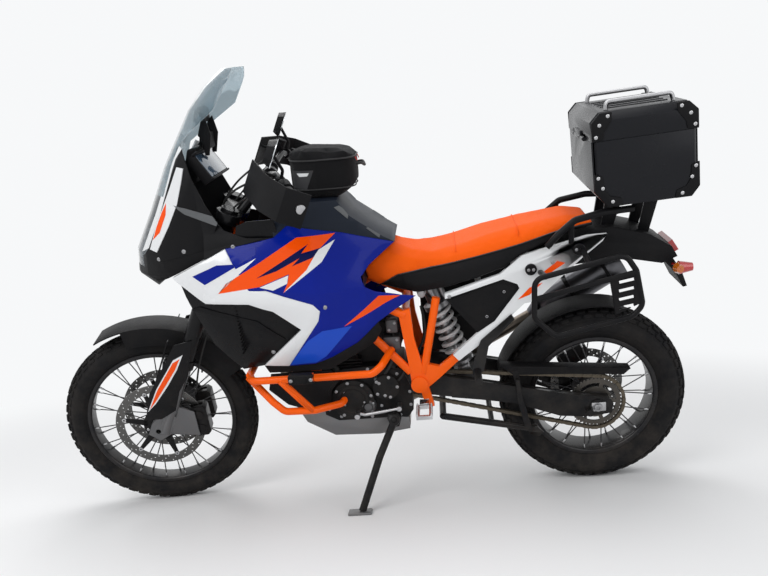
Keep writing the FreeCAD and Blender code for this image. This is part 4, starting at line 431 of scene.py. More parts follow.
finishes = dict(
    tyre=finish("tyreRubber", (0.011, 0.011, 0.012), 0.75, grain=900, depth=0.35, dust=0.14, top=0.75, swing=0.1,
                specular=0.1),
    rim=finish("rimBlack", (0.009, 0.009, 0.011), 0.3, coat=0.12, dust=0.12, shade=0.3, specular=0.2),
    hub=finish("hubCast", (0.05, 0.05, 0.055), 0.45, metal=0.6, grain=700, depth=0.25, dust=0.25),
    disc=finish("discSteel", (0.12, 0.118, 0.115), 0.28, metal=1.0, grain=500, stretch=(1, 8, 1), depth=0.06,
                dust=0.06),
    silver=finish("castSilver", (0.42, 0.42, 0.43), 0.42, metal=0.85, grain=900, depth=0.15, dust=0.12),
    sprocket=finish("sprocketSteel", (0.09, 0.083, 0.075), 0.4, metal=0.9, grain=600, dust=0.25),
    forkFoot=finish("footCast", (0.15, 0.15, 0.155), 0.42, metal=0.85, grain=900, depth=0.15, dust=0.12),
    steel=finish("platedSteel", (0.5, 0.5, 0.51), 0.3, metal=1.0, grain=800, depth=0.05, dust=0.08),
    bolt=finish("boltSteel", (0.34, 0.34, 0.35), 0.35, metal=0.9, grain=900, dust=0.1),
    chain=finish("chainSteel", (0.11, 0.092, 0.068), 0.45, metal=0.8, grain=900, depth=0.2, dust=0.35),
    forkBlack=finish("forkBlack", (0.006, 0.006, 0.007), 0.28, metal=0.1, coat=0.05, dust=0.06, specular=0.14),
    gripRubber=finish("gripRubber", (0.015, 0.015, 0.015), 0.8, grain=900, depth=0.3, dust=0.06),
    plastic=finish("grainedPlastic", (0.008, 0.008, 0.009), 0.5, dust=0.06, shade=0.35, specular=0.088, **hardPlastic),
    plasticSmooth=finish("smoothPlastic", (0.005, 0.005, 0.006), 0.26, coat=0.04, grain=300, depth=0.04, dust=0.05,
                         specular=0.12),
    plasticGrey=finish("greyPlastic", (0.09, 0.095, 0.1), 0.55, dust=0.1, **hardPlastic),
    caliper=finish("caliperBlack", (0.009, 0.009, 0.01), 0.35, metal=0.2, dust=0.1, specular=0.12),
    orangeMetal=finish("orangePowderCoat", (0.95, 0.115, 0.0015), 0.32, coat=0.15, grain=600, depth=0.08, dust=0.05,
                       shade=0.12, specular=0.1),
    orangePaint=finish("orangePaint", (0.9, 0.08, 0.001), 0.25, coat=0.25, grain=80, depth=0.01, dust=0.03,
                       shade=0.06, specular=0.08),
    engine=finish("engineBlack", (0.009, 0.009, 0.01), metal=0.1, grain=1200, depth=0.3, dust=0.12, specular=0.12),
    engineGrey=finish("engineGrey", (0.1, 0.1, 0.105), 0.48, metal=0.6, grain=1200, depth=0.3, dust=0.2),
    skid=finish("skidSheet", (0.2, 0.2, 0.205), metal=0.75, grain=240, stretch=(1, 1, 9), dust=0.25),
    blue=finish("bluePaint", (0.0016, 0.012, 0.24), 0.2, coat=0.1, shade=0.12, specular=0.08, **paint),
    # a lighter blue that paints the reflection on one facet of the side panel
    bluePaintedReflection=finish("paintedReflectionBlue", (0.012, 0.07, 0.52), 0.2, coat=0.15, shade=0.1, specular=0.12, **paint),
    blueDark=finish("darkBluePaint", (0.001, 0.004, 0.06), 0.2, coat=0.08, shade=0.1, specular=0.08, **paint),
    white=finish("whitePaint", (0.74, 0.75, 0.76), 0.25, coat=0.8, grain=80, depth=0.01, dust=0.06, shade=0.04),
    whiteMetal=finish("whitePowderCoat", (0.72, 0.73, 0.74), 0.38, coat=0.2, grain=600, depth=0.08, dust=0.12,
                      shade=0.06),
    slate=finish("slateCover", (0.011, 0.015, 0.024), 0.42, coat=0.05, grain=500, depth=0.06, dust=0.03, specular=0.1),
    radiator=finish("radiatorFins", (0.03, 0.03, 0.03), metal=0.5, dust=0.3),
    screen=glazing("screenTint", (0.2, 0.29, 0.34), 0.04, 0.7, 0.72),
    lens=glazing("lampGlass", (0.12, 0.14, 0.16), 0.03, 0.6, 0.8),
    chrome=finish("brightReflector", (0.8, 0.81, 0.83), 0.08, depth=0.01, swing=0.03, **polished),
    mirrorGlass=finish("mirrorGlass", (0.75, 0.78, 0.8), 0.03, depth=0.004, swing=0.02, **polished),
    seatOrange=finish("seatOrangeVinyl", (0.9, 0.11, 0.002), 0.6, dust=0.04, shade=0.2, sheen=0.05, specular=0.08,
                      **vinyl),
    seatBlack=finish("seatBlackVinyl", (0.009, 0.009, 0.01), 0.55, dust=0.05, specular=0.088, **vinyl),
    piping=finish("seatPiping", (0.01, 0.01, 0.01), 0.45, grain=800, dust=0.05),
    cloth=finish("bagCloth", (0.009, 0.009, 0.01), 0.85, weave=wovenHeight(900), depth=0.5, dust=0.04, sheen=0.08,
                 shade=0.35, specular=0.08),
    webbing=finish("bagWebbing", (0.015, 0.015, 0.016), 0.8, weave=wovenHeight(600), depth=0.6, dust=0.05, sheen=0.2),
    patchGrey=finish("greyPatch", (0.03, 0.03, 0.033), 0.7, weave=wovenHeight(700), depth=0.3, dust=0.05),
    redLens=finish("redLens", (0.45, 0.005, 0.008), 0.12, **glassy),
    amberLens=finish("amberLens", (0.5, 0.12, 0.008), 0.12, **glassy),
    redTrim=finish("redTrim", (0.5, 0.01, 0.012), grain=600, depth=0.2, dust=0.04),
    rack=finish("rackBlack", (0.007, 0.007, 0.008), 0.38, metal=0.1, grain=900, depth=0.2, dust=0.06, specular=0.12),
    caseSheet=finish("caseBlackSheet", (0.008, 0.0085, 0.011), 0.28, metal=0.2, grain=900, depth=0.12, dust=0.05,
                     specular=0.2),
    arm=finish("armBlack", (0.008, 0.008, 0.009), 0.35, metal=0.1, coat=0.08, dust=0.12, specular=0.12),
    springWhite=finish("springWhite", (0.7, 0.7, 0.7), 0.35, coat=0.4, shade=0.06),
    exhaust=finish("exhaustSteel", (0.2, 0.17, 0.14), 0.35, metal=0.95, grain=300, depth=0.08, dust=0.2, shade=0.5),
    silencer=finish("silencerSleeve", (0.13, 0.13, 0.14), 0.3, metal=1.0, grain=260, stretch=(9, 1, 9), depth=0.05,
                    dust=0.08),
    # the display: dark glass whose blue tint is a painted reflection of the sky
    displayWithPaintedSheen=finish("displayGlassWithPaintedSheen", (0.05, 0.085, 0.13), 0.08, coat=1.0, grain=60, depth=0.004, dust=0.03))

# nodes that show as they are; every other node is replaced by a finer piece below
shownNodes = dict(front_hub="hub", rear_hub="hub", rear_sprocket="sprocket", fork_uppers="forkBlack",
                  handlebar="forkBlack", radiators="radiator", rear_lamps="redLens", exhaust_pipes="exhaust",
                  foot_controls="steel")
for name, node in nodes.items():
    node.data.materials.clear()
    node.data.materials.append(finishes[shownNodes.get(name, "plastic")])
print("stage: finishes made,", len(finishes))


# wheels: tread blocks on a smooth carcass, nipples and bolts, drilled discs

wheels = dict(
    front=dict(radius=347, width=90, rimRadius=267, rimInner=251, rimWidth=66, hubFlange=38, hubHalf=36,
               body="front_wheel", where="frontWheel", blockDepth=6.5, blockLength=27, pitches=54,
               discNode="front_discs", discs=(-64, 64), discRadius=160, carrierRadius=58, arms=6, eyeRadius=26.4,
               rows=((0.17, 0.27, 0.0), (-0.17, 0.27, 0.5), (0.52, 0.24, 0.25), (-0.52, 0.24, 0.75), (0.8, 0.2, 0.0),
                     (-0.8, 0.2, 0.5))),
    rear=dict(radius=333, width=150, rimRadius=229, rimInner=211, rimWidth=112, hubFlange=60, hubHalf=50,
              body="rear_wheel", where="rearWheel", blockDepth=8, blockLength=29, pitches=50,
              discNode="rear_disc", discs=(86,), discRadius=133, carrierRadius=58, arms=5, eyeRadius=40.4,
              rows=((0.0, 0.22, 0.0), (0.27, 0.2, 0.5), (-0.27, 0.2, 0.5), (0.54, 0.2, 0.0), (-0.54, 0.2, 0.0),
                    (0.79, 0.2, 0.5), (-0.79, 0.2, 0.5))))
spokes = dict(count=36, lean=0.12, nippleRadius=3.6, nippleLength=16, headRadius=3.2)
tyres = dict(crown=((0, 0), (0.012, 0.22), (0.08, 0.56), (0.27, 0.86), (0.52, 1), (0.8, 0.9)), steps=8, shoulder=0.99,
             fade=0.12, turns=144, root=4, blockEdge=2.0)
discs = dict(band=30, half=2.1, carrierHalf=2.6, holeRadius=2.7, holesInRow=24, rowShares=(0.2, 0.5, 0.8), rowTurn=5,
             start=15)


def curveThrough(points, steps):
    # an even curve through the given points of a section
    result = []
    last = len(points) - 1
    for index in range(last):
        a, b, c, d = (Vector(points[max(0, min(last, index + shift))]) for shift in (-1, 0, 1, 2))
        for step in range(steps):
            t = step / steps
            result.append(tuple(0.5 * (2 * b + (c - a) * t + (2 * a - 5 * b + 4 * c - d) * t * t
                                       + (3 * b - a - 3 * c + d) * t ** 3)))
    return result + [tuple(points[-1])]


def tyreSection(look):
    radius, half, height = look["radius"], look["width"] / 2, look["radius"] - look["rimRadius"]
    corners = [(radius - height * down, half * out) for down, out in tyres["crown"]]
    return curveThrough(corners + [(look["rimRadius"] + 3, look["rimWidth"] / 2 - 3)], tyres["steps"])


def onSection(section, half, share):
    # the point of the section at a share of the half width, and how far its normal leans
    wanted = abs(share) * half
    for (r0, y0), (r1, y1) in zip(section, section[1:]):
        if y0 <= wanted <= y1:
            part = (wanted - y0) / (y1 - y0)
            lean = math.atan2(r0 - r1, y1 - y0)
            return r0 + (r1 - r0) * part, math.copysign(wanted, share), math.copysign(lean, share)


def makeTyre(name, look):
    section = tyreSection(look)
    half = look["width"] / 2
    side = []
    for radius, across in section:
        # the carcass lies a block's depth below the tread and comes out to the section at the shoulder
        fade = max(0.0, min(1.0, (tyres["shoulder"] - across / half) / tyres["fade"]))
        sunk = look["blockDepth"] * fade if radius > look["radius"] - half else 0.0
        side.append((radius - sunk, across))
    side.append((look["rimRadius"] - 8, look["rimWidth"] / 2 - 6))
    carcass = spun(side + [(radius, -across) for radius, across in reversed(side)][:-1], tyres["turns"])
    carcass.name = name + "_carcass"
    depth, pitch = look["blockDepth"] + tyres["root"], 360 / look["pitches"]
    blocks = []
    for share, wide, stagger in look["rows"]:
        radius, across, lean = onSection(section, half, share)
        long, broad = look["blockLength"] / 2, wide * half / 2
        block = slab((-long, -broad, -depth), (long, broad, 0.0), tyres["blockEdge"], 1)
        moved(block, movedTo(0, across, radius) @ turned(-math.degrees(lean), "X"))
        blocks.append(repeated("blocks", block, ring(look["pitches"], stagger * pitch)))
    for piece in (carcass, joined(name + "_tread", blocks)):
        settled(piece, "tyre", body=look["body"], where=look["where"], node=name)


def makeNipples(end, look):
    # one nipple where each spoke meets the rim, and the spoke's head at the hub's flange
    edge = look["rimWidth"] / 2 - 12
    inner, low = look["rimInner"], look["hubFlange"] - 6
    nippleSpots, headSpots = [], []
    for index in range(spokes["count"]):
        side = 1 if index % 2 else -1
        foot = 2 * math.pi * index / spokes["count"]
        tip = foot + spokes["lean"] * math.pi * (1 if index % 4 < 2 else -1)
        start = Vector((low * math.cos(foot), side * look["hubHalf"], low * math.sin(foot)))
        stop = Vector((inner * math.cos(tip), side * edge, inner * math.sin(tip)))
        way = (start - stop).normalized()
        nippleSpots.append(Matrix.Translation(stop + way) @ way.to_track_quat("Z", "Y").to_matrix().to_4x4())
        headSpots.append(Matrix.Translation(start + Vector((0, side * 2.4, 0))) @ turned(-90 * side, "X"))
    nipple = roundBar((0, 0, 0), (0, 0, spokes["nippleLength"]), spokes["nippleRadius"], 8, 0.6)
    head = roundBar((0, 0, -1), (0, 0, 2.4), spokes["headRadius"], 8, 0.5)
    for name, piece, spots in (("_nipples", nipple, nippleSpots), ("_spokeHeads", head, headSpots)):
        settled(repeated(end + name, piece, spots), "steel", look["body"], look["where"])


def makeDisc(name, look, across):
    radius, inner, middle = look["discRadius"], look["discRadius"] - discs["band"], look["carrierRadius"]
    near, far, turn = across - discs["half"], across + discs["half"], discs["start"]
    plate = rounded(spun([(radius, far), (radius, near), (inner, near), (inner, far)], 120), 0.5, 1)
    holes = []
    for row, share in enumerate(discs["rowShares"]):
        spot = inner + discs["band"] * share
        hole = roundBar((spot, across - 8, 0), (spot, across + 8, 0), discs["holeRadius"], 10)
        holes.append(repeated("holes", hole, ring(discs["holesInRow"], row * discs["rowTurn"] + turn)))
    carved(plate, joined("drill", holes))
    near, far = across - discs["carrierHalf"], across + discs["carrierHalf"]
    # each arm of the carrier narrows outward to a round boss
    arm = outlinePlate([(middle - 12, -13), (inner - 4, -7), (inner + 9, -7), (inner + 9, 7), (inner - 4, 7),
                        (middle - 12, 13)], near, far, 1.0, 2)
    eye = spun([(middle + 4, near), (look["eyeRadius"], near), (look["eyeRadius"], far), (middle + 4, far)], 72)
    carrier = joined("carrier", [rounded(eye, 0.8, 2), repeated("arms", arm, ring(look["arms"], turn))])
    button = spun([(7.5, -3.6), (7.5, 3.6), (3, 4.2), (3, -4.2)], 20)
    buttons = repeated("buttons", button, [spin @ movedTo(inner + 1, across, 0) for spin in ring(look["arms"], turn)])
    bolt = spun([(5.5, 0), (5.5, 3.4), (4.6, 4.4), (2.6, 4.4), (2.4, 2.2), (0.01, 2.2), (0.01, 0)], 12)
    side = 1 if across > 0 else -1
    spots = [spin @ movedTo(middle - 8, across + side * 2.4, 0) @ turned(0 if side > 0 else 180, "X")
             for spin in ring(look["arms"], turn + 180 / look["arms"])]
    fasteners = joined("fasteners", [buttons, repeated("bolts", bolt, spots)])
    for piece, part, finishName, slot, node in ((plate, "_ring", "disc", None, look["discNode"]),
                                                (carrier, "_carrier", "forkBlack", "rim_black", None),
                                                (fasteners, "_fasteners", "steel", "steel_plain", None)):
        piece.name = name + part
        settled(piece, finishName, look["body"], look["where"], node)


for end, look in wheels.items():
    makeTyre(end + "_tyre", look)
    makeNipples(end, look)
    for index, across in enumerate(look["discs"]):
        makeDisc(f"{end}_disc{index}", look, across)
bearingCap = rounded(spun([(30, 93.5), (30, 97), (24, 99), (16, 99), (16, 93.5)], 48), 0.8, 1)
bearingCap.name = "rear_bearingCap"
settled(bearingCap, "hub", "rear_wheel", "rearWheel")
print("stage: wheels")


# the metal and moulded pieces: each keeps its node's form, with flat faces made whole and edges rounded

dressings = dict(
    front_wheel=dict(front_rim=(1.6, "rim")),
    rear_wheel=dict(rear_rim=(1.6, "rim")),
    chassis=dict(main_frame=(1.5, "orangeMetal"), engine=(2.5, "engine"), skid_plate=(1.2, "skid"),
                 swing_arm=(2.5, "arm"), chain_guard=(0.8, "plastic"), rear_caliper=(1.5, "caliper"),
                 subframe=(2.0, "whiteMetal"), side_covers=(2.0, "plastic"), tail_unit=(4.0, "plastic"),
                 luggage_rack=(1.2, "rack"), top_case=(2.5, "caseSheet"), foot_rests=(1.0, "steel"),
                 stand_mounts=(1.0, "arm"), belly_panels=(1.5, "plastic"), radiator_shrouds=(2.0, "plasticSmooth"),
                 shroud_bands=(3.0, "white"), side_panels=(2.5, "blue"), nose_cowl=(2.0, "plastic"),
                 nose_panels=(1.5, "white"), cockpit_stay=(1.0, "rack"), dash=(3.0, "plastic"),
                 fuel_tank=(4.0, "slate"), crash_bars=(0, "orangeMetal"), windscreen=(1.2, "screen"),
                 silencer=(1.5, "silencer"), pannier_racks=(0.8, "rack")),
    steering=dict(front_calipers=(1.5, "caliper"), yokes=(2.0, "forkBlack"), fork_lowers=(1.5, "forkFoot"),
                  front_fender=(1.2, "plastic"), fork_guards=(1.2, "plasticSmooth"), hand_guards=(1.2, "plastic"),
                  mirrors=(2.5, "plastic"), grips=(1.5, "gripRubber"), bar_controls=(0.8, "plastic")),
    case_lid=dict(case_lid=(3.0, "caseSheet")),
    side_stand=dict(side_stand=(1.0, "arm")),
    centre_stand=dict(centre_stand=(1.0, "arm")))


def dressed(node, width, look, body):
    piece = nodeCopy(node + "_dressed", node)
    inEdit(piece, lambda: bpy.ops.mesh.dissolve_limited(angle_limit=math.radians(1.5)))
    if width:
        rounded(piece, width, 2, 30)
    return settled(piece, look, body=body, node=node, angle=50 if look == "rim" else 40)


def partly(piece, look, test):
    # a second surface where the test of a face's upright place says so
    piece.data.materials.append(finishes[look])
    back = place["frame"].inverted()
    for face in piece.data.polygons:
        if test(back @ face.center):
            face.material_index = 1


dressedPieces = {node: dressed(node, width, look, body)
                 for body, rows in dressings.items() for node, (width, look) in rows.items()}
partly(dressedPieces["side_stand"], "skid", lambda spot: spot.z < 86)
partly(dressedPieces["foot_rests"], "arm", lambda spot: spot.x > 240 and (spot.z > 420 or abs(spot.y) < 172))
print("stage: dressed", len(dressedPieces))


# coloured flashes, and one painted reflection on a facet: thin films cut from the outside of the panel that they lie on

films = dict(lift=0.6, facing=-0.12, lowest=-420, highest=-70)


def skinFilm(skin, lift):
    # of a solid cut by an outline, the skin that faces left, thickened outward
    inEdit(skin, lambda: bpy.ops.mesh.select_all(action="DESELECT"))
    for face in skin.data.polygons:
        face.select = face.normal.y > films["facing"]
    bpy.ops.object.mode_set(mode="EDIT")
    bpy.context.tool_settings.mesh_select_mode = (False, False, True)
    bpy.ops.mesh.delete(type="FACE")
    bpy.ops.object.mode_set(mode="OBJECT")
    return addModifier(skin, "SOLIDIFY", thickness=lift, offset=1.0)


def film(name, look, sources, outline, lift=films["lift"], slot="panel_blue", body="chassis", where="frame"):
    skins = []
    for source in sources:
        skin = nodeCopy(name, source)
        if where != "frame":
            skin.data.transform(place["frame"])
            skin.data.transform(place[where].inverted())
        carved(skin, outlinePlate(outline, films["lowest"], films["highest"]), "INTERSECT")
        if skin.data.polygons:
            skins.append(skin)
        else:
            bpy.data.objects.remove(skin)
    whole = skinFilm(joined(name, skins), lift)
    settled(mirrored(whole), look, body, where, angle=30)


panels, guards = ("side_panels", "shroud_bands"), ("fork_guards",)
onGuard = dict(slot="fork_black", body="steering", where="fork")
film("flash_field", "blue", panels, [(-520, 925), (-401, 972), (-244, 1029), (-237, 1017), (-480, 898)])
film("flash_white", "white", panels, [(-480, 898), (-300, 975), (-407, 893), (-441, 867)])
film("flash_bolt", "orangePaint", panels, [(-438, 869), (-407, 901), (-171, 1023), (-50, 1023), (-109, 977),
                                           (-146, 924), (-224, 862), (-209, 889), (-202, 917), (-298, 887)])
film("flash_edge", "white", panels, [(-52, 1004), (-97, 943), (-224, 862), (-146, 924), (-107, 979)])
film("flash_chip", "white", panels, [(-298, 885), (-204, 914), (-210, 889), (-256, 872)])
film("flash_gap", "blueDark", panels, [(-305, 914), (-136, 1000), (-159, 975), (-100, 985), (-122, 960), (-190, 940),
                                       (-165, 962), (-240, 930)], 0.9)
film("flash_small", "orangePaint", panels[:1], [(-48, 725), (70, 808), (138, 795), (95, 782)])
# a painted reflection: a lighter blue film on one facet of the side panel, not a graphic
film("facet_paintedReflection", "bluePaintedReflection", panels[:1], [(-250, 595), (-171, 686), (-119, 719), (-23, 723), (-120, 622),
                                              (-157, 600)])
film("flash_railHigh", "orangePaint", ("subframe",), [(597, 832), (655, 874), (680, 866), (622, 830)])
film("flash_railLow", "orangePaint", ("subframe",), [(524, 753), (563, 791), (606, 805), (563, 767)])
film("guard_flashEdge", "white", guards, [(-52, 80), (-46, 175), (-20, 300), (6, 330), (2, 270), (-12, 200),
                                          (-34, 120)], **onGuard)
film("guard_flashCore", "orangePaint", guards, [(-48, 92), (-42, 172), (-18, 290), (0, 312), (-4, 268), (-18, 205),
                                                (-36, 130)], 1.2, **onGuard)
print("stage: flashes")


# soft pieces: the seat and the tank bag start from their nodes' own forms

seatLook = dict(voxel=6.0, smooths=8, inset=3.0, pressure=3.0, rise=4.0, weltFrom=40, weltTo=770, weltSteps=39,
                weltRadius=2.2, near=9, seamsAt=(330, 535), seamHalf=132, seamStep=11, seamRadius=1.6, seamNear=7,
                edge=[(-20, 800), (47, 809), (131, 856), (252, 882), (388, 906), (538, 935), (655, 964), (723, 974),
                      (800, 985)])
bagLook = dict(voxel=5.0, smooths=7, inset=5.0, pressure=4.0, rise=7.0, middle=-85, loops=((1243, 2.6), (1150, 2.2)),
               loopSteps=48, band=5, aside=9, proud=0.8,
               handle=[(16, -28, 1214), (44, -26, 1218), (52, 0, 1206), (44, 26, 1218), (16, 28, 1214)],
               patch=[(-186, 1212), (-108, 1212), (-138, 1150), (-182, 1156)],
               stripe=[(-166, 1204), (-124, 1204), (-131, 1194), (-158, 1193)],
               pulls=((20, -38), (20, 30), (-160, -50)))


def padOut(piece, pressure, cap, steps=12):
    # cloth under pressure, each point held to within the cap of where it began
    start = [vertex.co.copy() for vertex in piece.data.vertices]
    pick(piece)
    cloth = piece.modifiers.new("cloth", "CLOTH")
    settings = cloth.settings
    settings.quality = 4
    settings.mass = 0.3
    settings.tension_stiffness = settings.compression_stiffness = 15
    settings.bending_stiffness = 2.0
    settings.use_pressure = True
    settings.uniform_pressure_force = pressure
    settings.effector_weights.gravity = 0
    piece.data.transform(Matrix.Scale(0.001, 4))
    for step in range(1, steps + 1):
        bpy.context.scene.frame_set(step)
    bpy.ops.object.modifier_apply(modifier=cloth.name)
    bpy.context.scene.frame_set(1)
    piece.data.transform(Matrix.Scale(1000, 4))
    for vertex, old in zip(piece.data.vertices, start):
        move = vertex.co - old
        if move.length > cap:
            vertex.co = old + move * (cap / move.length)
    addModifier(piece, "SMOOTH", factor=0.5, iterations=3)


def softened(name, node, soft, *looks):
    # the node's form drawn in a little and remeshed, its hard edges worn round, and padded out again
    piece = nodeCopy(name, node)
    inEdit(piece, lambda: bpy.ops.mesh.dissolve_limited(angle_limit=0.02),
           lambda: bpy.ops.mesh.quads_convert_to_tris())
    addModifier(piece, "REMESH", mode="VOXEL", voxel_size=soft["voxel"], use_smooth_shade=True)
    addModifier(piece, "SMOOTH", factor=0.5, iterations=soft["smooths"])
    inEdit(piece, lambda: bpy.ops.transform.shrink_fatten(value=-soft["inset"]))
    padOut(piece, soft["pressure"], soft["rise"])
    addModifier(piece, "SUBSURF", levels=1, render_levels=1)
    piece.data.materials.clear()
    for look in looks:
        piece.data.materials.append(finishes[look])
    return smoothed(piece, 60)


def heightOn(line, x):
    for (x0, z0), (x1, z1) in zip(line, line[1:]):
        if x0 <= x <= x1:
            return z0 + (z1 - z0) * (x - x0) / (x1 - x0)
    return line[0][1] if x < line[0][0] else line[-1][1]


def makeSeat():
    seat = softened("seat_cushion", "seat", seatLook, "seatOrange", "seatBlack")
    points = [vertex.co.copy() for vertex in seat.data.vertices]
    for face in seat.data.polygons:
        face.material_index = 0 if face.center.z > heightOn(seatLook["edge"], face.center.x) else 1
    start, length, steps = seatLook["weltFrom"], seatLook["weltTo"] - seatLook["weltFrom"], seatLook["weltSteps"]
    route = []
    for step in range(steps + 1):
        # the welt follows the edge between the two colours, as far out as the cushion reaches there
        x = start + length * step / steps
        z = heightOn(seatLook["edge"], x)
        near = [abs(point.y) for point in points if max(abs(point.x - x), abs(point.z - z)) < seatLook["near"]]
        if near:
            route.append((x, max(near) + 0.6, z))
    welts = [tube([(x, side * y, z) for x, y, z in route], seatLook["weltRadius"], sides=8) for side in (-1, 1)]
    half, seams = seatLook["seamHalf"], []
    for x in seatLook["seamsAt"]:
        line = []
        for y in range(-half, half + 1, seatLook["seamStep"]):
            above = [point.z for point in points if max(abs(point.x - x), abs(point.y - y)) < seatLook["seamNear"]]
            if above:
                line.append((x, y, max(above) + 0.2))
        seams.append(tube(line, seatLook["seamRadius"], sides=8))
    seat.data.transform(place["frame"])
    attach(seat, "chassis")
    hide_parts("seat")
    fitted("seat_piping", "piping", "seat_cover", made=welts, angle=60)
    fitted("seat_seams", "seatOrange", "seat_cover", made=seams, angle=60)


def bagLoop(bag, height, radius):
    # a welt round the bag at one height, on the widest points in each direction
    line = []
    for step in range(bagLook["loopSteps"]):
        turn = 2 * math.pi * step / bagLook["loopSteps"]
        direction = Vector((math.cos(turn), math.sin(turn)))
        best = 0
        for vertex in bag.data.vertices:
            if abs(vertex.co.z - height) < bagLook["band"]:
                flat = Vector((vertex.co.x - bagLook["middle"], vertex.co.y))
                along = flat.dot(direction)
                if along > best and (flat - direction * along).length < bagLook["aside"]:
                    best = along
        if best:
            out = best + bagLook["proud"]
            line.append((bagLook["middle"] + direction.x * out, direction.y * out, height))
    return tube(line, radius, sides=8, closed=True)


def makeTankBag():
    bag = softened("tank_bag_shell", "tank_bag", bagLook, "cloth")
    fitted("tank_bag_piping", "webbing", "bag_fabric", angle=60,
           made=[bagLoop(bag, height, radius) for height, radius in bagLook["loops"]])
    fitted("tank_bag_handle", "webbing", "bag_fabric", tubes=[(bagLook["handle"], 5.0, 14, 10)], angle=60)
    for part, lift, look in (("patch", 0.8, "patchGrey"), ("stripe", 1.4, "white")):
        patch = copied(bag, Matrix.Identity(4))
        patch.name = "tank_bag_" + part
        carved(patch, outlinePlate(bagLook[part], films["lowest"], 0), "INTERSECT")
        settled(skinFilm(patch, lift), look)
    pulls = [([(x, y, 1243), (x + 7, y - 4, 1240), (x + 12, y - 6, 1228)], 1.7, 4, 8) for x, y in bagLook["pulls"]]
    fitted("tank_bag_pulls", "redTrim", "bag_fabric", tubes=pulls, angle=60)
    bag.data.transform(place["frame"])
    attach(bag, "chassis")
    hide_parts("tank_bag")


makeSeat()
makeTankBag()
print("stage: soft pieces")


# raised details of the nose, the tank cover, the shroud and the side cover

film("nose_stripe", "white", ("nose_cowl",), [(-668, 1006), (-634, 1081), (-600, 1140), (-567, 1197), (-532, 1262),
                                              (-508, 1258), (-520, 1218), (-544, 1150), (-584, 1082), (-642, 998)], 2.8)
film("nose_flash", "orangePaint", ("nose_cowl",), [(-652, 1036), (-632, 1078), (-607, 1122), (-586, 1152), (-592, 1116),
                                                   (-622, 1060)], 3.4)
film("cowl_strip", "plasticGrey", ("nose_cowl",), [(-558, 1146), (-518, 1137), (-341, 1080), (-333, 1060), (-245, 1056),
                                                   (-239, 1041), (-346, 1047), (-522, 1118)], 3.0)
film("cowl_lower", "plastic", ("nose_cowl",), [(-642, 963), (-373, 1022), (-371, 1036), (-250, 1036), (-393, 1003),
                                               (-600, 917)], 2.0)
film("tank_padFront", "plasticGrey", ("fuel_tank",), [(-49, 1098), (-32, 1102), (-3, 1078), (-8, 1060)], 1.6)
film("tank_padRear", "plasticGrey", ("fuel_tank",), [(48, 1025), (64, 1032), (94, 1008), (87, 990)], 1.6)
film("shroud_rib", "plastic", ("radiator_shrouds",), [(-575, 800), (-520, 815), (-330, 760), (-250, 690), (-262, 684),
                                                      (-340, 748), (-520, 800)], 4.0)
film("cover_inset", "plastic", ("side_covers",), [(300, 766), (470, 812), (512, 798), (516, 786), (440, 700),
                                                  (400, 672)], 2.0)


# fittings: fasteners seated on the surface below them, hoses, ribs and other small parts

def onSurface(sources, spots):
    # where lines from both sides first meet the surface of the named nodes
    points, faces = [], []
    back = place["frame"].inverted()
    for name in sources:
        base = len(points)
        points += [back @ vertex.co for vertex in nodes[name].data.vertices]
        faces += [[base + index for index in face.vertices] for face in nodes[name].data.polygons]
    tree = BVHTree.FromPolygons(points, faces)
    found = []
    for x, z in spots:
        for side in (-1, 1):
            hit = tree.ray_cast(Vector((x, side * 700, z)), Vector((0, -side, 0)))[0]
            if hit:
                found.append((x, hit.y, z))
    return found


def around(x, z, radius, count, start=0.0):
    turns = [start + 2 * math.pi * k / count for k in range(count)]
    return [(x + radius * math.cos(turn), z + radius * math.sin(turn)) for turn in turns]


def bothSides(y, *spots):
    return [(x, side * y, z) for x, z in spots for side in (-1, 1)]


def bolted(name, spots, radius, height, look="bolt", slot="steel_plain", body="chassis", at=Matrix.Identity(4)):
    # socket heads that point away from the middle of the machine
    head = spun([(radius * 1.3, -1), (radius * 1.3, 1.0), (radius, 1.4), (radius, height - 0.8), (radius - 0.8, height),
                 (radius * 0.55, height), (radius * 0.5, height * 0.5), (0.01, height * 0.5), (0.01, -1)], 12)
    places = [at @ movedTo(*spot) @ turned(180 if spot[1] < 0 else 0, "Z") for spot in spots]
    settled(repeated(name, head, places), look, body)


bolted("panel_screws", onSurface(
    ("nose_cowl", "side_panels", "shroud_bands", "radiator_shrouds", "belly_panels", "fuel_tank"),
    [(-373, 1012), (-640, 975), (-545, 1000), (-520, 700), (-300, 640), (-146, 1090), (-560, 800), (-100, 800),
     (100, 930)]), 5.5, 2.6)
bolted("engine_bolts", onSurface(
    ("engine",), around(-60, 420, 66, 8, 0.2) + around(60, 460, 39, 5) + around(-20, 430, 74, 9)
    + [(140, 380), (140, 430), (100, 500), (0, 525), (-110, 350), (0, 343), (100, 343), (-150, 380)]), 4.5, 4.0)
bolted("tail_bolts", onSurface(
    ("subframe", "side_covers", "tail_unit"),
    [(480, 782), (300, 780), (420, 700), (560, 852), (578, 850), (716, 909), (736, 914), (800, 925),
     (640, 870)]), 5.0, 3.5)

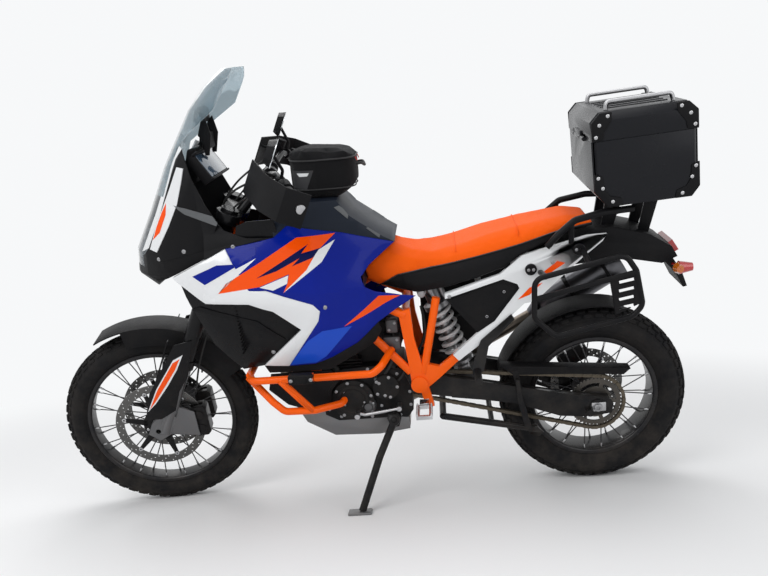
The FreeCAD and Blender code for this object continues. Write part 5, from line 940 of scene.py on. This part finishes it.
engineParts = dict(
    dishOut=137.5, dishes=dict(left=(-1, -60, 420, 58), right=(1, -20, 430, 66)),
    dishSteps=((0, 0), (0, 3), (4, 6), (12, 6), (16, 2.5), (34, 2.5), (38, 5)),
    pump=[(27, 0), (27, 22), (22, 28), (15, 28), (13, 33), (0.01, 33), (0.01, 0)], pumpAt=(-8, -112, 392),
    pumpBolts=22, pumpDeep=28,
    finsFrom=520, finStep=11,
    panel=[(-330, 545), (-120, 545), (-98, 505), (-128, 468), (-136, 420), (-150, 400), (-215, 399), (-285, 425),
           (-345, 485)],
    lip=[(-318, 538), (-128, 538), (-112, 506), (-138, 470), (-145, 425), (-158, 408), (-212, 408), (-278, 432),
         (-332, 487)],
    hoses=[([(-340, -96, 690), (-260, -104, 660), (-190, -98, 610), (-120, -92, 540), (-70, -120, 470),
             (-30, -126, 405)], 11),
           ([(-340, 100, 700), (-250, 104, 690), (-130, 96, 650), (-60, 80, 600)], 11),
           ([(40, -118, 480), (90, -128, 540), (110, -112, 620), (90, -90, 700)], 5),
           ([(48, -120, 448), (110, -130, 470), (150, -126, 560), (150, -100, 660)], 4),
           ([(30, 118, 480), (80, 124, 560), (120, 100, 660)], 5)],
    blocks=[((20, -134, 436), (62, -112, 496), 4), ((64, -124, 590), (124, -70, 640), 6),
            ((60, 74, 600), (118, 122, 650), 6), ((78, -120, 652), (118, -82, 700), 5)],
    blockBolts=[(30, -134, 446), (52, -134, 446), (30, -134, 486), (52, -134, 486), (76, -124, 602), (112, -124, 628),
                (88, -120, 664), (108, -120, 688)])


def makeEngineParts(parts):
    for tag, (side, x, z, size) in parts["dishes"].items():
        dish = spun([(size - cut, out) for cut, out in parts["dishSteps"]] + [(0.01, 5), (0.01, 0)], 64)
        fitted("engine_dish_" + tag, "engine", "engine_black", made=[dish],
               at=movedTo(x, side * parts["dishOut"], z) @ Matrix.Scale(side, 4, (0, 1, 0)))
    fitted("water_pump", "engineGrey", "engine_black", made=[spun(parts["pump"], 40),
                                                             roundBar((0, 14, 0), (-48, 14, -14), 11, 24)],
           at=movedTo(*parts["pumpAt"]) @ acrossY)
    x, y, z = parts["pumpAt"]
    pumpBolts = around(x, z, parts["pumpBolts"], 4, 0.6)
    bolted("pump_bolts", [(a, y - parts["pumpDeep"], b) for a, b in pumpBolts], 3.2, 3.0)
    fins = [parts["finsFrom"] + step * parts["finStep"] for step in range(4)]
    fitted("cylinder_fins", "engine", "engine_black",
           slabs=[((-150, -100, z), (-20, 100, z + 4), 1.2, 1) for z in fins])
    fitted("engine_sidePanel", "plastic", "engine_black", mirror=True,
           plates=[(parts["panel"], -152, -147, 2), (parts["lip"], -154.5, -151, 1.5)])
    fitted("engine_hoses", "gripRubber", "engine_black", hoses=parts["hoses"], angle=60)
    fitted("engine_fittings", "engineGrey", "engine_black", slabs=parts["blocks"])
    bolted("fitting_bolts", parts["blockBolts"], 4.0, 3.4)


makeEngineParts(engineParts)
fitted("crash_bar_clamps", "plastic", "frame_orange", mirror=True,
       slabs=[((-250, 233, 545), (-163, 267, 579), 7, 3), ((-226, 230, 549), (-188, 270, 574), 3, 2)])
bolted("clamp_bolts", bothSides(267, (-240, 562), (-173, 562)), 5.0, 3.5)
pegTeeth = dict(edges=(166, 214), across=range(191, 269, 11), low=407, high=416, radius=4.6, tip=1.8)
fitted("foot_rest_teeth", "steel", "steel_plain", mirror=True,
       bars=[((x, y, pegTeeth["low"]), (x, y, pegTeeth["high"]), pegTeeth["radius"], 8, 0, pegTeeth["tip"])
             for x in pegTeeth["edges"] for y in pegTeeth["across"]])

chain = dict(rear=(789, 333, 100), front=(106, 462, 42), pitch=15.9, y=-90, link=6.0, pin=3.4, thick=1.6,
             outer=(-7.6, 6.0), inner=(-5.4, 3.8))


def chainRoute():
    # the loop of the chain: two straight runs and two arcs
    (x1, z1, r1), (x2, z2, r2) = chain["rear"], chain["front"]
    between = Vector((x2 - x1, z2 - z1))
    heading = math.atan2(between.y, between.x)
    spread = math.acos((r1 - r2) / between.length)
    route = []
    for start, end, x, z, radius in ((heading + spread, heading + 2 * math.pi - spread, x1, z1, r1),
                                     (heading - spread, heading + spread, x2, z2, r2)):
        for step in range(41):
            turn = start + (end - start) * step / 40
            route.append(Vector((x + radius * math.cos(turn), z + radius * math.sin(turn))))
    return route + [route[0]]


def makeChain():
    route = chainRoute()
    lengths = [0.0]
    for a, b in zip(route, route[1:]):
        lengths.append(lengths[-1] + (b - a).length)
    count = 2 * round(lengths[-1] / chain["pitch"] / 2)
    joints = []
    for step in range(count):
        reach = lengths[-1] * step / count
        index = max(k for k in range(len(route) - 1) if lengths[k] <= reach)
        share = (reach - lengths[index]) / (lengths[index + 1] - lengths[index])
        joints.append(route[index].lerp(route[index + 1], share))
    pins = [movedTo(spot.x, chain["y"], spot.y) for spot in joints]
    places = []
    for spot, ahead, pin in zip(joints, joints[1:] + joints[:1], pins):
        turn = math.atan2(ahead.y - spot.y, ahead.x - spot.x)
        places.append(pin @ Matrix.Rotation(-turn, 4, "Y"))
    # the side plate: a half circle round each of its two pins
    angles = [math.pi * (k + 0.5) / 6 - math.pi / 2 for k in range(12)]
    side = [((chain["pitch"] if math.cos(a) > 0 else 0) + chain["link"] * math.cos(a), chain["link"] * math.sin(a))
            for a in angles]
    outer, inner = (joined("plates", [outlinePlate(side, y, y + chain["thick"]) for y in chain[row]])
                    for row in ("outer", "inner"))
    links = [repeated("outer", outer, places[1::2]), repeated("inner", inner, places[::2]),
             repeated("pins", roundBar((0, -8, 0), (0, 8, 0), chain["pin"], 10), pins)]
    settled(joined("chain_links", links), "chain", node="chain")


makeChain()

shock = dict(top=(225, 0, 790), bottom=(338, 0, 462), turns=7, radius=38, wire=6.5, low=0.3, high=0.88)


def makeShock():
    top, bottom = Vector(shock["top"]), Vector(shock["bottom"])
    reach = (bottom - top).length
    along = Matrix.Translation(top) @ (bottom - top).to_track_quat("Z", "Y").to_matrix().to_4x4()
    low, high = shock["low"] * reach, shock["high"] * reach
    steps = shock["turns"] * 24
    coil = [(shock["radius"] * math.cos(k * math.pi / 12), shock["radius"] * math.sin(k * math.pi / 12),
             low + (high - low) * k / steps) for k in range(steps + 1)]
    spring = moved(tube(coil, shock["wire"], sides=12), along)
    spring.name = "shock_spring"
    settled(spring, "springWhite", node="shock", angle=60)
    damper = spun([(22, 16), (26, 20), (26, 74), (45, 80), (45, low - 6), (24, low - 2), (24, reach * 0.66),
                   (10, reach * 0.68), (10, high), (45, high + 4), (45, high + 14), (20, high + 18), (18, reach - 14),
                   (0.01, reach - 14), (0.01, 16)], 40, "Z")
    fitted("shock_body", "bolt", "spring_white", made=[damper], at=along,
           bars=[((0, 36, 30), (0, 36, 76), 10, 24, 3), ((0, -20, 0), (0, 20, 0), 20, 32, 2),
                 ((0, -20, reach), (0, 20, reach), 18, 32, 2)])


makeShock()

rackPads = ((569, 853), (723, 909))
tyreGuard = dict(centre=(789, 333), radius=348, thick=4, half=72, fromAngle=72, toAngle=166)
silencerBands = dict(start=(600, 192, 575), end=(930, 192, 765), shares=(0.1, 0.46, 0.84), radius=59.5)


def makeRearParts():
    fitted("axle_blocks", "steel", "steel_plain", slabs=[((768, 130, 316), (818, 136, 350), 2.5)], mirror=True)
    bolted("axle_nuts", [(789, -136, 333), (789, 136, 333)], 13, 12)
    pad = spun([(19, 0), (19, 7), (16, 10), (0.01, 10), (0.01, 0)], 32)
    pads = repeated("pads", pad, [movedTo(x, 157.5, z) for x, z in rackPads])
    fitted("rack_pads", "rack", "rack_black", made=[pads], mirror=True)
    bolted("rack_bolts", bothSides(167.5, *[(x + step, z) for x, z in rackPads for step in (-8, 8)]), 4, 3.5)
    # a thin guard close over the front of the rear tyre
    (x, z), radius = tyreGuard["centre"], tyreGuard["radius"]
    arc = [math.radians(angle) for angle in range(tyreGuard["fromAngle"], tyreGuard["toAngle"], 5)]
    outer = [(x + radius * math.cos(a), z + radius * math.sin(a)) for a in arc]
    radius -= tyreGuard["thick"]
    inner = [(x + radius * math.cos(a), z + radius * math.sin(a)) for a in reversed(arc)]
    half = tyreGuard["half"]
    fitted("tyre_guard", "plastic", "black_plastic", plates=[(outer + inner, -half, half, 1.2)])
    start, end = Vector(silencerBands["start"]), Vector(silencerBands["end"])
    fitted("silencer_bands", "rack", "silencer_silver",
           bars=[(start.lerp(end, share - 0.02), start.lerp(end, share + 0.02), silencerBands["radius"], 48, 1.0)
                 for share in silencerBands["shares"]])
    fitted("indicator_lenses", "amberLens", "lamp_red", bars=[((1045, 150, 820), (1045, 169, 820), 19, 24, 0, 12)],
           mirror=True)


makeRearParts()

case = dict(
    at=movedTo(768, 0, 1045) @ turned(-3.5, "Y"), side=207, capSide=214,
    caps=[[(0, 48), (38, 0), (84, 0), (78, 24), (44, 34), (30, 58), (26, 96), (0, 104)],
          [(316, 30), (291, 0), (240, 0), (246, 24), (276, 34), (288, 54), (292, 96), (316, 104)]],
    lidCaps=[[(0, 203), (34, 203), (38, 226), (60, 256), (64, 283), (27, 283), (0, 256)],
             [(316, 203), (282, 203), (278, 226), (256, 256), (252, 283), (289, 283), (316, 256)]],
    rivets=((24, 60), (52, 16), (12, 92), (292, 60), (262, 14), (304, 92)),
    lidRivets=((12, 214), (24, 248), (50, 272), (304, 214), (292, 248), (266, 272)),
    rails=(-151, 151), ribs=(-100, -50, 0, 50, 100), latches=(-120, 120))


def makeCase():
    onCase = dict(slot="case_black", at=case["at"])
    for name, caps, rivets, body in (("case", "caps", "rivets", "chassis"),
                                     ("lid", "lidCaps", "lidRivets", "case_lid")):
        plates = [(outline, case["side"], case["capSide"], 2.5) for outline in case[caps]]
        fitted(name + "_caps", "plastic", plates=plates, mirror=True, body=body, **onCase)
        bolted(name + "_rivets", bothSides(case["capSide"], *case[rivets]), 4.2, 2.2, "steel", body=body, **onCase)
    fitted("lid_rails", "silver", tubes=[([(57, y, 284), (61, y, 307), (255, y, 307), (259, y, 284)], 6.8, 16, 16)
                                         for y in case["rails"]], body="case_lid", angle=60, **onCase)
    fitted("lid_ribs", "caseSheet", slabs=[((60, y - 5, 282), (256, y + 5, 285.5), 1.5) for y in case["ribs"]],
           body="case_lid", **onCase)
    latches = [((317, y - 20, 168), (325, y + 20, 232), 3) for y in case["latches"]]
    fitted("case_latches", "steel", slabs=latches, **onCase)


makeCase()

cockpit = dict(
    dashAt=movedTo(-470, 0, 1245) @ turned(-32, "Y"),
    tower=[(-512, 1306), (-478, 1312), (-478, 1250), (-503, 1196), (-545, 1206)],
    towerPlate=[(-457, 1385), (-440, 1400), (-429, 1345), (-444, 1282), (-458, 1282), (-458, 1330), (-472, 1346)],
    mirror=[(233, 1081), (366, 1086), (372, 1148), (360, 1154), (236, 1152), (228, 1140)],
    cables=[([(128, 190, 1028), (86, 180, 1010), (40, 120, 960), (0, 60, 900), (-12, 40, 840)], 3.6),
            ([(140, 214, 1022), (96, 206, 980), (60, 150, 930), (34, 90, 880), (20, 60, 846)], 3.2),
            ([(46, 60, 600), (60, 92, 560), (64, 99, 420), (66, 98, 300), (78, 88, 215), (84, 78, 176)], 3.4)])


def makeCockpit():
    onDash = dict(slot="black_plastic", at=cockpit["dashAt"])
    turning = dict(body="steering", where="fork")
    # the display's blue tint is a painted reflection of the sky on dark glass
    fitted("dash_glass", "displayWithPaintedSheen", slabs=[((16.5, -96, -41), (18.5, 96, 41), 0.9)], **onDash)
    fitted("dash_hood", "plastic", **onDash,
           slabs=[((10, -108, 42), (30, 108, 50), 3), ((10, -108, -50), (22, 108, -43), 3)])
    fitted("screen_tower", "plastic", "black_plastic", slabs=[((-466, -40, 1300), (-442, 40, 1352), 5)],
           plates=[(cockpit["tower"], -62, 62, 6, 3)] + [(cockpit["towerPlate"], y - 3, y + 3, 1.2) for y in (-46, 46)])
    fitted("mirror_glass", "mirrorGlass", "mirror_shell", plates=[(cockpit["mirror"], 97.2, 100.2, 0.8, 2, "X")],
           mirror=True, **turning)
    fitted("steering_cables", "gripRubber", "fork_black", hoses=cockpit["cables"], mirror=True, angle=60, **turning)
    fitted("brake_reservoir", "plastic", "black_plastic", **turning,
           bars=[((112, 214, 1040), (112, 214, 1072), 17, 28, 2), ((112, 214, 1072), (112, 214, 1079), 18, 28, 1.5)])
    fitted("bar_weights", "steel", "fork_black", mirror=True, **turning,
           bars=[((212.3, 410, 1016), (218, 424, 1014.6), 15, 24, 2)])
    riser = spun([(7, 0), (7, 5), (5, 7), (0.01, 7), (0.01, 0)], 16, "Z")
    fitted("riser_bolts", "bolt", "fork_black", **turning,
           made=[repeated("bolts", riser, [movedTo(x, y, 1018) for y in (-48, 48) for x in (96, 118)])])


makeCockpit()

innerParts = dict(
    fairing=[(-372, 1012), (-358, 1074), (-322, 1086), (-236, 1086), (-228, 1012)],
    guard=[(196, 540), (232, 512), (330, 508), (392, 560), (404, 650), (372, 742), (250, 786), (196, 740)],
    lines=[([(206, -52, 772), (220, -34, 756), (238, -30, 740), (252, -20, 722)], 4),
           ([(196, 40, 560), (240, 30, 600), (300, 46, 640), (384, 50, 660)], 5),
           ([(200, 50, 690), (250, 44, 668), (320, 48, 690), (376, 52, 720)], 4),
           ([(160, -60, 520), (190, -50, 570), (214, -48, 640), (200, -50, 720)], 5)])
# dark panels that close the gap between the nose and the tank cover, below all that turns with the bars
fitted("inner_fairing", "plasticSmooth", "black_plastic", plates=[(innerParts["fairing"], -194, -188, 2)], mirror=True)
# behind the shock: the inner guard, the spring's setting knob with its line, and the wiring over the pivot
fitted("inner_guard", "plastic", "black_plastic", plates=[(innerParts["guard"], 56, 62, 3)])
fitted("spring_knob", "silver", "steel_plain",
       bars=[((206, -58, 772), (206, -84, 772), 13, 32, 2), ((206, -50, 772), (206, -60, 772), 16, 32, 1.5)])
fitted("inner_lines", "gripRubber", "black_plastic", hoses=innerParts["lines"], angle=60)
fitted("inner_shelf", "plastic", "black_plastic", slabs=[((-350, -188, 1040), (-236, -152, 1052), 4)], mirror=True)

# the lamp: five reflectors behind the glass; the radiators: rows of slats
cupSpots = ((-662, -44, 1070), (-662, 44, 1070), (-688, -44, 1012), (-688, 44, 1012), (-706, 0, 968))
dressed("headlight", 3.0, "lens", "chassis")
fitted("lamp_back", "plasticSmooth", "lamp_glass", slabs=[((-655, -84, 952), (-612, 84, 1110), 6)])
cup = spun([(24, 0), (24, 4), (21, 4), (12, 17), (6, 20), (0.01, 20), (0.01, 23), (8, 23), (25, 5), (26, 0)], 32, "X")
fitted("lamp_cups", "chrome", "lamp_glass", made=[repeated("cups", cup, [movedTo(*spot) for spot in cupSpots])])
fitted("radiator_slats", "rack", "radiator_black", mirror=True,
       slabs=[((-400, 62, 648 + step * 12.4), (-394, 214, 650.5 + step * 12.4)) for step in range(17)])
print("stage: fittings")


# studio: a pale floor that runs into a pale sky, soft lamps, and the camera where the photograph was taken

studio = dict(floorColour=(0.86, 0.86, 0.86, 1), skyColour=(0.9, 0.92, 0.95, 1), skyStrength=0.45,
              farColour=(0.93, 0.94, 0.95, 1), fadeFrom=1.7, fadeTo=3.4, cameraAt=(0.297985, -2.705692, 0.987392),
              cameraTurn=(81.2723, 4.1882, 2.3628), lens=37.351, shift=(-0.032298, 0.071873))
lamps = dict(keyLamp=dict(at=(-2.6, -3.4, 3.6), aim=(0, 0, 0.6), size=3.2, power=120),
             fillLamp=dict(at=(3.2, -2.8, 2.2), aim=(0.2, 0, 0.6), size=3.0, power=45),
             topLamp=dict(at=(0.2, 0.6, 4.2), aim=(0, 0, 0.5), size=3.6, power=80),
             backLamp=dict(at=(-1.6, 3.6, 3.6), aim=(0, 0, 0.7), size=2.0, power=26))


def seenRays(tree):
    # 1 for the rays that show a background: straight to the camera, mirrored, or through glass
    path = shaderNode(tree, "LightPath")
    direct = maths(tree, "MAXIMUM", path["Is Camera Ray"], path["Is Glossy Ray"])
    return maths(tree, "MAXIMUM", direct, path["Is Transmission Ray"])


def makeFloor():
    clearSelection()
    bpy.ops.mesh.primitive_plane_add(size=60, location=(0, 0, -0.0005))
    floor = bpy.context.object
    floor.name = "studioFloor"
    look = bpy.data.materials.new("paleFloor")
    look.use_nodes = True
    tree = look.node_tree
    surface = tree.nodes["Principled BSDF"]
    surface.inputs["Base Color"].default_value = studio["floorColour"]
    surface.inputs["Roughness"].default_value = 0.9
    surface.inputs["Specular IOR Level"].default_value = 0.1
    # the floor keeps its shadow near the machine and runs into the sky's colour further out
    spot = shaderNode(tree, "TexCoord")["Object"]
    reach = shaderNode(tree, "VectorMath", {0: spot}, operation="LENGTH")["Value"]
    fade = shaderNode(tree, "MapRange", {"Value": reach, "From Min": studio["fadeFrom"], "From Max": studio["fadeTo"]},
                      interpolation_type="SMOOTHSTEP")[0]
    far = shaderNode(tree, "Emission", dict(Color=studio["farColour"]))[0]
    shown = maths(tree, "MULTIPLY", fade, seenRays(tree))
    mix = shaderNode(tree, "MixShader", {0: shown, 1: surface.outputs[0], 2: far})
    feed(tree, tree.nodes["Material Output"].inputs["Surface"], mix[0])
    floor.data.materials.append(look)


def makeSky():
    world = bpy.data.worlds.new("studioSky")
    bpy.context.scene.world = world
    world.use_nodes = True
    tree = world.node_tree
    sky = tree.nodes["Background"]
    sky.inputs["Color"].default_value = studio["skyColour"]
    sky.inputs["Strength"].default_value = studio["skyStrength"]
    seen = shaderNode(tree, "Background", dict(Color=studio["farColour"], Strength=1.0))[0]
    mix = shaderNode(tree, "MixShader", {0: seenRays(tree), 1: sky.outputs[0], 2: seen})
    feed(tree, tree.nodes["World Output"].inputs["Surface"], mix[0])


def makeLampsAndCamera():
    for name, lamp in lamps.items():
        bpy.ops.object.light_add(type="AREA", location=lamp["at"])
        light = bpy.context.object
        light.name = name
        light.data.size = lamp["size"]
        light.data.energy = lamp["power"]
        light.rotation_euler = (Vector(lamp["aim"]) - Vector(lamp["at"])).to_track_quat("-Z", "Y").to_euler()
    bpy.ops.object.camera_add(location=studio["cameraAt"], rotation=[math.radians(a) for a in studio["cameraTurn"]])
    camera = bpy.context.object
    camera.data.lens = studio["lens"]
    camera.data.sensor_width = 36
    camera.data.shift_x, camera.data.shift_y = studio["shift"]
    camera.data.clip_end = 200
    bpy.context.scene.camera = camera
    bpy.context.scene.view_settings.view_transform = "Standard"


makeFloor()
makeSky()
makeLampsAndCamera()
print("stage: studio ready")

print("stage: done")
